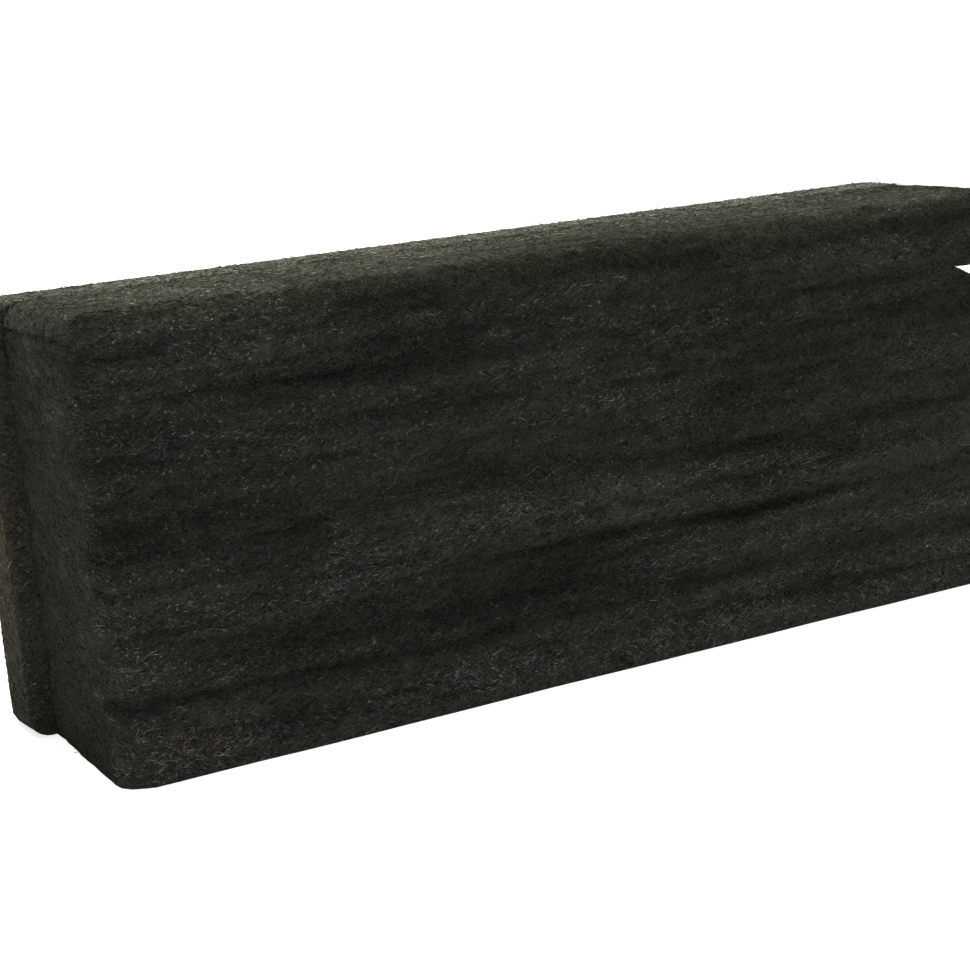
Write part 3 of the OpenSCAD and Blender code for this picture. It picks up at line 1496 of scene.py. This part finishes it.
    def dent(self, n: Array, outer: Array, inner: Array) -> Array:
        """Find how far back the soft valleys beside a ply take its end.

        Args:
            n: Places across the ply.
            outer: Depth of the valley on the ply's outer side.
            inner: Depth of the one on its inner side.

        Returns:
            The depth at each place.
        """
        return np.where(n > 0, outer, inner) * ease(np.abs(n), self.dent_from, self.dent_width)

    def lit_top_share(self, x: Array, n: Array) -> Array:
        """Find how much painted light lightens and yellows the top of the strip.

        Args:
            x: Places along the strip.
            n: Places across the felt.

        Returns:
            The share at each place, more at the left than at the right.
        """
        along = self.lit_top_level - self.lit_top_slope * x / self.form.half_len
        ends = smooth((self.form.half_len - np.abs(x)) / self.lit_top_margin)
        return ease(n, *self.lit_top_across) * along * ends

    def shape_ply(self, skin: Skin, ply: int) -> None:
        """Shape one ply, from the fold to its end at the wiping face.

        Args:
            skin: The skin of the strip.
            ply: Number of the ply.
        """
        f = self.form
        is_upper = ply % 2 == 0
        sign = 1.0 if is_upper else -1.0
        pick = skin.straight & (skin.upper == is_upper)
        x, n, w, shut = (values[pick] for values in (skin.x, skin.n, skin.matted, skin.shut))
        over, over_gap = f.line(ply, x)
        under, under_gap = f.line(ply + 1, x)
        roof, ground = over - over_gap / 2, under + under_gap / 2
        mid = self.centre + sign * (f.slit + f.ply) / 2
        mid = mid + w * ((roof + ground) / 2 - mid)
        full = (f.ply + shut * (f.slit + f.strip_gap) / 2) / 2
        mid = mid - sign * shut * (f.slit - f.strip_gap) / 4 * (1 - w)
        half = full + w * ((roof - ground) / 2 - full)
        skin.z[pick] = mid + sign * n * half
        top, foot = f.behind(ply, x, False), f.behind(ply, x, True)
        above_step = np.maximum(0.0, f.behind(ply - 1, x, True) - top)
        below_step = np.maximum(0.0, f.behind(ply + 1, x, False) - foot)
        above = self.lip_depth * (over_gap + above_step)
        below = self.lip_depth * (under_gap + below_step)
        if ply == f.ply_count - 1:
            below = below * 0 + self.bottom_edge_depth
        outer, inner = (above, below) if is_upper else (below, above)
        tip = self.tip(n, outer, inner) + skin.inset[pick]
        if ply == 0:
            edge = 1 - np.sqrt(1 - ((1 + n) / 2) ** self.top_edge_power)
            tip = tip + self.top_edge_depth * edge
            # Painted light: the top of the top strip is lighter and yellower, more at the left.
            skin.lit_top[pick] = self.lit_top_share(x, n)
        dents = f.hollow(ply, x), f.hollow(ply + 1, x)
        dent = self.dent(n, *(dents if is_upper else dents[::-1]))
        down = (1 - sign * n) / 2
        behind = top * (1 - down) + foot * down
        skin.y[pick] = tip + (1 - tip / self.y_bend) * skin.back[pick] + (behind + dent) * w
        # Painted shade: the felt is darker where a ply's edge lies back and in the soft valleys
        # between plies.
        skin.lit_and_worn[pick] = self.middle_wear + (self.face_wear - behind - dent) * w

    def shape_bend(self, skin: Skin) -> None:
        """Shape the fold at the back, a square with rounded corners.

        Args:
            skin: The skin of the strip.
        """
        f = self.form
        bend = ~skin.straight
        cos, sin = np.cos(skin.angle), np.sin(skin.angle)
        power = self.bend_power
        round_off = (np.abs(cos) ** power + np.abs(sin) ** power) ** (1 / power)
        far = (f.strip_h / 2 + skin.shut * f.strip_gap / 2) / round_off
        inner = f.slit / 2 * (1 - skin.shut)
        reach = inner + (far - inner) * (1 + skin.n) / 2
        skin.z[bend] = (self.centre + reach * cos)[bend]
        skin.y[bend] = (self.y_bend + reach * sin)[bend]
        if self.number == 1:
            # Painted light on the top of the fold as well.
            on_top = ease(cos, *self.lit_top_round_fold) * self.lit_top_share(skin.x, skin.n)
            skin.lit_top[bend] = on_top[bend]

    def round_ends(self, skin: Skin) -> None:
        """Press the thin end down and round the corners, seen from the front and from above.

        Args:
            skin: The skin of the strip.
        """
        f = self.form
        x = skin.x
        skin.z = self.low + (skin.z - self.low) * (1 - f.thinning(self.number, x))
        if self.number == 1:
            radius = np.where(x < 0, self.left_round, self.right_round)
            drop = arc_drop(radius, np.maximum(0.0, radius - (f.half_len - np.abs(x))))
            skin.z = skin.z - drop * np.where(skin.upper, (1 + skin.n) / 2, 0.0) ** 2
        pull = arc_drop(self.plan_round, np.maximum(0.0, self.plan_round - skin.y))
        near_end = ease(np.abs(x), f.half_len - self.plan_reach, self.plan_reach)
        skin.x = x - np.sign(x) * pull * near_end**2

    def roughen(self, points: Array, matted: Array) -> tuple[Array, Array]:
        """Move the points a little, as felt is lumpy and its cut edges are streaky.

        Args:
            points: Places on the strip, in millimetres.
            matted: 1 at the wiping face, 0 in the fold.

        Returns:
            The moved points, and how far each went inwards at the wiping face.
        """
        streaks = noise_at(points, *self.streaks)
        streaks = streaks + self.fine_streak * noise_at(points, *self.fine_streaks)
        lumps = noise_at(points, *self.lumps)
        lift = noise_at(points, *self.lifts)
        ripple = noise_at(points, *self.ripples)
        past = np.abs(points[:, 0]) - self.form.half_len + self.rough_end
        ends = smooth(past / self.rough_end)
        standing = smooth(points[:, 2] / self.calm_foot)
        inwards = (self.streak * streaks + self.lump * lumps) * (0.25 + matted) * standing
        inwards = inwards + self.ripple * standing
        pressed = np.maximum(self.streak * lumps + 0.5 * self.streak * streaks, 0)
        lift = self.lump * (0.2 + 0.6 * matted) * lift + self.ripple * matted * ripple
        points = points.copy()
        points[:, 1] += np.maximum(inwards, -self.most_outwards)
        points[:, 0] -= np.sign(points[:, 0]) * ends * pressed
        points[:, 2] += lift * standing
        return points, inwards * matted

    def store_values(self, strip: Piece, skin: Skin, points: Array, relief: Array) -> None:
        """Store what the fibres and the felt finish read at each point.

        Args:
            strip: The finished strip.
            skin: Its skin.
            points: Where its points are, in millimetres.
            relief: How far each went inwards when the felt was roughened.
        """
        f = self.form
        y, z, height = skin.y, skin.z, points[:, 2]
        from_end = f.half_len - np.abs(skin.x)
        on_top = (self.number == 1) & skin.upper & skin.outer_side
        below = (self.number == len(f.strips)) & ~skin.upper & skin.outer_side
        fuzz = 1 - ease(y, self.fuzz_depth, self.fuzz_fade)
        clumps = 1 + self.clump_gain * noise_at(points, *self.clumps)
        fuzz = np.where(skin.at_face, np.clip(clumps, *self.clump_limits), fuzz)
        fuzz = np.where(on_top, self.fuzz_on_top, fuzz)
        fuzz = np.where(below, self.fuzz_below, fuzz)
        fuzz = np.where(skin.at_end, self.fuzz_at_end, fuzz)
        fuzz = fuzz * (0.5 + 0.5 * smooth(height / self.fuzz_foot))
        inside = np.where(on_top, ease(y, 4, 5) * ease(f.depth - y, 3, 3), ease(f.top - z, 3, 5))
        inside = inside * ease(z, 5, 6) * ease(from_end, 3, 5)
        tangle = np.where(skin.at_end, self.tangle_at_end, self.tangle)
        # Painted shade where roughening pushed the felt inwards, and painted light towards the
        # bottom of the wiping face.
        lit_and_worn = skin.lit_and_worn - relief + self.low_shading * skin.matted * (1 - height / f.top)
        fine = self.fine_mottle * noise_at(points, *self.fine_mottles)
        mottle = noise_at(points, *self.mottles) + fine
        cut_end = skin.at_end & (skin.matted < 0.9)
        # The cut ends are darker, with a mottle.
        lit_and_worn = np.where(cut_end, self.end_tone + self.end_mottle * mottle, lit_and_worn)
        add_values(strip, "fuzz", fuzz)
        add_values(strip, "loose", fuzz * inside)
        add_values(strip, "tangle", np.where(on_top & (y > 2), ANY_WAY, tangle))
        # Painted light on the top also lifts lit_and_worn.
        add_values(strip, "lit_and_worn", np.clip(lit_and_worn + self.lit_top_lift * skin.lit_top, 0, 1))
        add_values(strip, "faded", skin.lit_top)

    def build(self) -> Piece:
        """Make the strip.

        Returns:
            The strip, with the values that the fibres and the felt finish read.
        """
        skin = self.lay_out()
        for ply in (2 * self.number - 2, 2 * self.number - 1):
            self.shape_ply(skin, ply)
        self.shape_bend(skin)
        self.round_ends(skin)
        points = np.stack([skin.x, self.form.front + skin.y, skin.z], axis=1)
        points, relief = self.roughen(points, skin.matted)
        strip = new_piece(f"strip_{self.number}", points, skin.faces)
        self.store_values(strip, skin, points, relief)
        return strip

    def dress(self, finishes: Finishes, fuzz: Fuzz) -> None:
        """Args:
            finishes: The materials.
            fuzz: Grows the fibres.
        """
        strip = self.build()
        strip.data.materials.append(finishes.felt)
        fibres = [
            fuzz.grow(f"{name}_{self.number}", strip, kind, seed + self.number, finishes.fibre)
            for name, kind, seed in self.fibre_kinds()
        ]
        for piece in (strip, *fibres):
            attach(piece, ROOT)
            report(piece)
        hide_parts(f"felt_fold_{self.number}")

    def fibre_kinds(self) -> tuple[tuple[str, FuzzKind, int], ...]:
        """Name each kind of fibre on the strip, with the start of its random draws.

        Returns:
            Name, kind and start of each.
        """
        return (
            ("nap", self.nap, 10),
            ("fuzz", self.hair, 30),
            ("lint", self.lint, 90),
            ("stray", self.strays, 50),
        )

    @property
    def unfolded(self) -> float:
        """Width of the strip before it was folded, in millimetres."""
        return 2 * self.y_bend + math.pi * (self.form.slit + self.form.ply) / 2


# ---------------------------------------------------------------- the back sheet


@dataclass
class BackSheet:
    """The thick felt sheet that the strips are sewn to, in millimetres."""

    rows: list[float]
    corner: float = 1.6
    corner_taper: float = 0.6
    edge_round: float = 0.35
    cells: tuple[int, int, int] = (150, 12, 80)
    crowding: float = 1.15
    at_edge: float = 0.999
    # the channels that the rows of stitches press into the back
    channel: float = 0.55
    channel_spread: float = 1.0
    channel_margin: float = 7.0
    channel_fade: float = 2.0
    sewn_spread: float = 1.2
    lump: float = 0.1
    back_lumps: Pattern = ((0.25, 0.3, 0.25), 4.2)
    end_lumps: Pattern = ((0.3, 0.5, 0.3), 8.2)
    # how fuzzy the parts of the sheet are, and their wear with painted light and shade
    shoulder: float = 3.2
    fuzz_at_back: float = 0.6
    fuzz_on_shoulder: float = 0.4
    fuzz_below: float = 0.1
    rim_highlight: float = 0.9
    shoulder_lightening: float = 0.62
    light_and_wear: float = 0.46
    sewn_darkening: float = 0.1
    low_shading: float = 0.22
    low_height: float = 13.0
    # where the cut edge shows its browner inside, which fades out near the floor as painted shade
    cut: float = 0.85
    cut_from: float = 26.0
    floor_shade_height: float = 18.0
    cut_fall: float = 14.0
    cut_depth: float = 1.5
    bared_spread: float = 7.0
    cut_drift: float = 4.0
    cut_drifts: Pattern = ((0.1, 0.2, 0.15), 15.2)
    nap: FuzzKind = FuzzKind(density=5.5, length=0.9, points=2, lift=0.25, radius=0.05)
    hair: FuzzKind = FuzzKind(density=1.0, length=1.6, radius=0.034)

    def build(self) -> Piece:
        """Make the sheet.

        Returns:
            The sheet, with the values that the fibres and the felt finish read.
        """
        low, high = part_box("back_sheet")
        half, height = high.x / MM, high.z / MM
        y_low, y_high = low.y / MM, high.y / MM
        places, faces = lattice(self.cells)
        u, v, w = (2 * places[:, i] / self.cells[i] - 1 for i in range(3))
        u = np.sign(u) * (1 - (1 - np.abs(u)) ** self.crowding)
        at_front, at_back = places[:, 1] == 0, places[:, 1] == self.cells[1]
        thick = (y_high - y_low) / 2
        n = np.sin(np.pi / 2 * v)
        past = np.maximum(0.0, self.edge_round - thick * (1 - np.abs(n)))
        inset = arc_drop(self.edge_round, past)
        x = u * half
        corner = self.corner - self.corner_taper * n
        drop = arc_drop(corner, np.maximum(0.0, np.abs(x) - (half - corner)))
        z = height / 2 + w * (height / 2 - drop)
        x = x * (1 - inset / half)
        z = height / 2 + (z - height / 2) * (1 - inset / (height / 2))
        y = (y_low + y_high) / 2 + n * thick
        sewn = np.zeros_like(x)
        for row in self.rows:
            along = smooth((half - self.channel_margin - np.abs(x)) / self.channel_fade)
            y = y - self.channel * (bell(z, row, self.channel_spread) * along) * at_back
            sewn = np.maximum(sewn, bell(z, row, self.sewn_spread) * at_back)
        points = np.stack([x, y, z], axis=1)
        behind = ease(y, y_low, self.cut_depth)
        points[:, 1] -= self.lump * at_back * np.abs(noise_at(points, *self.back_lumps))
        points[:, 0] -= np.sign(x) * self.lump * behind * np.abs(noise_at(points, *self.end_lumps))
        sheet = new_piece("back_felt", points, faces)
        shoulder = at_front & (np.abs(x) > half - self.shoulder)
        rim = ~at_back & (w > self.at_edge)
        fuzz = np.where(~at_back & (w < -self.at_edge), self.fuzz_below, 1.0)
        fuzz = np.where(shoulder, self.fuzz_on_shoulder, fuzz)
        fuzz = np.where(at_back, self.fuzz_at_back * (1 - sewn), fuzz)
        # Painted light: the shoulder is lighter, against the shade of the inside corner, and the
        # top rim gets a painted highlight; the back is darker along the stitch rows.
        lit_and_worn = np.where(shoulder, self.shoulder_lightening, self.light_and_wear - self.sewn_darkening * sewn)
        lit_and_worn = np.where(rim, self.rim_highlight, lit_and_worn)
        low_down = 1 - smooth(z / self.low_height)
        ends = ~at_back & ~rim & (np.maximum(np.abs(u), np.abs(w)) > self.at_edge)
        corner = smooth((np.abs(x) - half + 1.0) / 0.6)
        bared = shoulder * corner * bell(z, self.cut_from, self.bared_spread)
        drifted = z + self.cut_drift * noise_at(points, *self.cut_drifts)
        thinned = 1 - self.cut * ease(drifted, self.cut_from, self.cut_fall)
        # Painted shade: the browner, lighter cut edge fades out towards the floor, leaving it
        # darker there.
        patchy_and_floor_shaded = smooth(drifted / self.floor_shade_height) * thinned
        add_values(sheet, "fuzz", np.where(at_front & ~shoulder, 0.0, fuzz))
        add_values(sheet, "tangle", np.full(len(points), ANY_WAY))
        # Painted shade: the sheet is darker near the floor.
        add_values(sheet, "lit_and_worn", lit_and_worn - self.low_shading * low_down * ~at_back)
        # Painted light on the sheet's top rim, lighter and yellower.
        add_values(sheet, "faded", rim * 1.0)
        add_values(sheet, "cut", np.maximum(self.cut * behind * ends * patchy_and_floor_shaded, bared))
        return sheet

    def dress(self, finishes: Finishes, fuzz: Fuzz) -> None:
        """Args:
            finishes: The materials.
            fuzz: Grows the fibres.
        """
        sheet = self.build()
        sheet.data.materials.append(finishes.back)
        nap = fuzz.grow("nap_back", sheet, self.nap, 70, finishes.back_fibre)
        hair = fuzz.grow("fuzz_back", sheet, self.hair, 80, finishes.back_fibre)
        for piece in (sheet, nap, hair):
            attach(piece, ROOT)
            report(piece)
        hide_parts("back_sheet")


# ---------------------------------------------------------------- stitching


@dataclass
class Stitching:
    """Rows of lock stitches that hold the strips to the back sheet, in millimetres."""

    rows: list[float]
    stitch: float = 7.5
    count: int = 15
    strand: float = 0.21
    strand_sides: int = 5
    twist: float = 1.5
    steps_per_turn: int = 6
    # how deep the thread dives at a hole, how close to the hole, and how steeply
    dip: float = 0.9
    hole_narrowness: float = 5.5
    hole_power: float = 2.2

    INPUTS = {
        "Rows": "Int",
        "Pitch": "Float",
        "Start": "Vector",
        "Length": "Float",
        "Stitch": "Float",
        "Strand": "Float",
        "Twist": "Float",
        "Dip": "Float",
        "Points": "Int",
        "Material": "Material",
    }

    def tree(self) -> Tree:
        """Build the tree: one twisted thread that dives at each hole, repeated for each row.

        Returns:
            The tree.
        """
        tree = bpy.data.node_groups.new("stitch_rows", "GeometryNodeTree")
        add_inputs(tree, self.INPUTS)
        given = put(tree, "NodeGroupInput").outputs
        end = put(tree, "ShaderNodeCombineXYZ", {"X": given["Length"]}).outputs[0]
        path = put(tree, "GeometryNodeCurvePrimitiveLine", {"End": end}).outputs[0]
        feeds = {"Curve": path, "Count": given["Points"]}
        path = put(tree, "GeometryNodeResampleCurve", feeds).outputs[0]
        place = put(tree, "GeometryNodeInputPosition").outputs[0]
        x = put(tree, "ShaderNodeSeparateXYZ", {"Vector": place}).outputs["X"]
        share = maths(tree, "PINGPONG", maths(tree, "DIVIDE", x, given["Stitch"]), 0.5)
        away = maths(tree, "MULTIPLY", share, self.hole_narrowness)
        near = maths(tree, "SUBTRACT", 1.0, away, clamp=True)
        sunk = maths(tree, "MULTIPLY", maths(tree, "POWER", near, self.hole_power), given["Dip"])
        turns = maths(tree, "DIVIDE", x, given["Twist"])
        angle = maths(tree, "MULTIPLY", turns, 2 * math.pi)
        strands = put(tree, "GeometryNodeJoinGeometry")
        feeds = {"Resolution": self.strand_sides, "Radius": given["Strand"]}
        ring = put(tree, "GeometryNodeCurvePrimitiveCircle", feeds).outputs[0]
        for phase in (0.0, math.pi):
            turn = maths(tree, "ADD", angle, phase)
            y = maths(tree, "MULTIPLY", maths(tree, "SINE", turn), given["Strand"])
            z = maths(tree, "MULTIPLY", maths(tree, "COSINE", turn), given["Strand"])
            feeds = {"Y": maths(tree, "SUBTRACT", y, sunk), "Z": z}
            offset = put(tree, "ShaderNodeCombineXYZ", feeds).outputs[0]
            feeds = {"Geometry": path, "Offset": offset}
            strand = put(tree, "GeometryNodeSetPosition", feeds).outputs[0]
            feeds = {"Curve": strand, "Profile Curve": ring, "Fill Caps": True}
            strand = put(tree, "GeometryNodeCurveToMesh", feeds).outputs[0]
            tree.links.new(strand, strands.inputs[0])
        step = put(tree, "ShaderNodeCombineXYZ", {"Z": given["Pitch"]}).outputs[0]
        feeds = {"Count": given["Rows"], "Start Location": given["Start"], "Offset": step}
        spots = put(tree, "GeometryNodeMeshLine", feeds, mode="OFFSET").outputs[0]
        feeds = {"Points": spots, "Instance": strands.outputs[0]}
        rows = put(tree, "GeometryNodeInstanceOnPoints", feeds).outputs[0]
        rows = put(tree, "GeometryNodeRealizeInstances", {"Geometry": rows}).outputs[0]
        feeds = {"Geometry": rows, "Material": given["Material"]}
        put(tree, "NodeGroupOutput", {0: put(tree, "GeometryNodeSetMaterial", feeds).outputs[0]})
        return tree

    def dress(self, finishes: Finishes) -> None:
        """Make the stitches, and give the hidden threads their finish.

        Args:
            finishes: The materials.
        """
        _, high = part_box("needle_thread_1")
        length = self.stitch * self.count
        bottom, top = min(self.rows), max(self.rows)
        values = {
            "Rows": len(self.rows),
            "Pitch": (top - bottom) / (len(self.rows) - 1) * MM,
            "Start": (-length * MM / 2, high.y - self.strand * MM, bottom * MM),
            "Length": length * MM,
            "Stitch": self.stitch * MM,
            "Strand": self.strand * MM,
            "Twist": self.twist * MM,
            "Dip": self.dip * MM,
            "Points": round(length / self.twist * self.steps_per_turn) + 1,
            "Material": finishes.thread,
        }
        stitches = evaluate("stitches", bpy.data.meshes.new("no_mesh"), self.tree(), values)
        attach(stitches, ROOT)
        report(stitches)
        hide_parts(*(f"needle_thread_{i + 1}" for i in range(len(self.rows))))
        for i in range(len(self.rows)):
            hidden = bpy.data.objects[f"bobbin_thread_{i + 1}"].data
            hidden.materials.clear()
            hidden.materials.append(finishes.thread)


# ---------------------------------------------------------------- studio


@dataclass(frozen=True)
class Lamp:
    """A square soft light: its place and size in metres and its power in watts."""

    name: str
    place: Triple
    size: float
    power: float


@dataclass
class Studio:
    """Floor, light and camera, in degrees and millimetres where a name doesn't say otherwise."""

    azimuth: float = -27.05
    elevation: float = 11.79
    roll: float = -5.09
    distance: float = 246.98
    aim_from_centre: Triple = (-7.12, 2.58, -4.5)
    lens: float = 74.62
    sensor: float = 36.0
    world_strength: float = 0.1
    # the floor glows near the eraser a little less than further away, between two distances
    floor_size: float = 3000.0
    floor_colour: Colour = (0.8, 0.8, 0.8)
    near_glow: float = 0.8
    far_glow: float = 1.0
    near_metres: float = 0.12
    far_metres: float = 0.35
    lamps: tuple[Lamp, ...] = (
        Lamp("top_light", (-0.015, 0.02, 0.6), 0.45, 2.2),
        Lamp("rear_light", (0.02, 0.5, 0.4), 0.4, 4.0),
        Lamp("front_light", (0.1, -0.65, 0.2), 0.4, 0.33),
    )

    def __post_init__(self) -> None:
        """Find the middle of the eraser."""
        low, high = CAD_BOX
        self.centre = (Vector(low) + Vector(high)) / 2

    def camera(self) -> None:
        """Make the camera and put the scene behind it."""
        aim = self.centre + Vector(self.aim_from_centre) * MM
        a, e = math.radians(self.azimuth), math.radians(self.elevation)
        away = Vector((math.sin(a) * math.cos(e), -math.cos(a) * math.cos(e), math.sin(e)))
        data = bpy.data.cameras.new("camera")
        data.lens = self.lens
        data.sensor_fit = "HORIZONTAL"
        data.sensor_width = self.sensor
        data.clip_start = 0.01
        cam = link("camera", data)
        cam.location = aim + away * self.distance * MM
        turn = (-away).to_track_quat("-Z", "Y")
        cam.rotation_mode = "QUATERNION"
        cam.rotation_quaternion = turn @ Quaternion((0, 0, 1), math.radians(self.roll))
        bpy.context.scene.camera = cam

    def white_seen(self, tree: Tree) -> Socket:
        """Find the rays that see the background directly or in a reflection.

        Args:
            tree: Node tree of the background's material or world.

        Returns:
            A mask that is 1 for those rays, else 0.
        """
        path = put(tree, "ShaderNodeLightPath").outputs
        seen = maths(tree, "MAXIMUM", path["Is Camera Ray"], path["Is Glossy Ray"])
        return maths(tree, "MAXIMUM", seen, path["Is Transmission Ray"])

    def world(self) -> None:
        """Make an even light from all round that looks white."""
        world = bpy.data.worlds.new("studio")
        bpy.context.scene.world = world
        world.use_nodes = True
        tree = world.node_tree
        shine = tree.nodes["Background"]
        shine.inputs["Color"].default_value = WHITE
        extra = maths(tree, "MULTIPLY", self.white_seen(tree), 1 - self.world_strength)
        strength = maths(tree, "ADD", extra, self.world_strength)
        tree.links.new(strength, shine.inputs["Strength"])

    def floor(self) -> None:
        """Make the white floor, which still takes a soft shadow."""
        reach = self.floor_size * MM
        corners = [(-reach, -reach, 0), (reach, -reach, 0), (reach, reach, 0), (-reach, reach, 0)]
        mesh = bpy.data.meshes.new("floor")
        mesh.from_pydata(corners, [], [(0, 1, 2, 3)])
        floor = link("floor", mesh)
        material, tree, shader = new_material("white_floor")
        shader.inputs["Base Color"].default_value = rgba(self.floor_colour)
        shader.inputs["Roughness"].default_value = 1.0
        shader.inputs["Specular IOR Level"].default_value = 0.0
        shader.inputs["Emission Color"].default_value = WHITE
        place = put(tree, "ShaderNodeTexCoord").outputs["Object"]
        away = put(tree, "ShaderNodeVectorMath", {0: place}, operation="LENGTH").outputs["Value"]
        feeds = {"Value": away, "From Min": self.near_metres, "From Max": self.far_metres}
        feeds |= {"To Min": self.near_glow, "To Max": self.far_glow}
        level = put(tree, "ShaderNodeMapRange", feeds).outputs["Result"]
        glow = maths(tree, "MULTIPLY", self.white_seen(tree), level)
        tree.links.new(glow, shader.inputs["Emission Strength"])
        floor.data.materials.append(material)

    def hang(self, lamp: Lamp) -> None:
        """Hang a lamp so that it shines at the middle of the eraser.

        Args:
            lamp: The lamp.
        """
        data = bpy.data.lights.new(lamp.name, "AREA")
        data.energy = lamp.power
        data.size = lamp.size
        obj = link(lamp.name, data)
        obj.location = lamp.place
        obj.rotation_euler = (self.centre - obj.location).to_track_quat("-Z", "Y").to_euler()

    def build(self) -> None:
        """Set up everything."""
        self.camera()
        self.world()
        self.floor()
        for lamp in self.lamps:
            self.hang(lamp)
        bpy.context.scene.view_settings.view_transform = "Standard"


def main() -> None:
    """Build everything in order."""
    logging.basicConfig(level=logging.INFO, format="%(name)s: %(message)s")
    Studio().build()
    finishes = Finishes.make()
    fuzz = Fuzz()
    form = PadForm()
    for number in range(1, len(form.strips) + 1):
        FoldedStrip(number, form).dress(finishes, fuzz)
    rows = [(low + high) / 2 for low, high in form.strips]
    BackSheet(rows).dress(finishes, fuzz)
    Stitching(rows).dress(finishes)


if __name__ == "__main__":
    main()
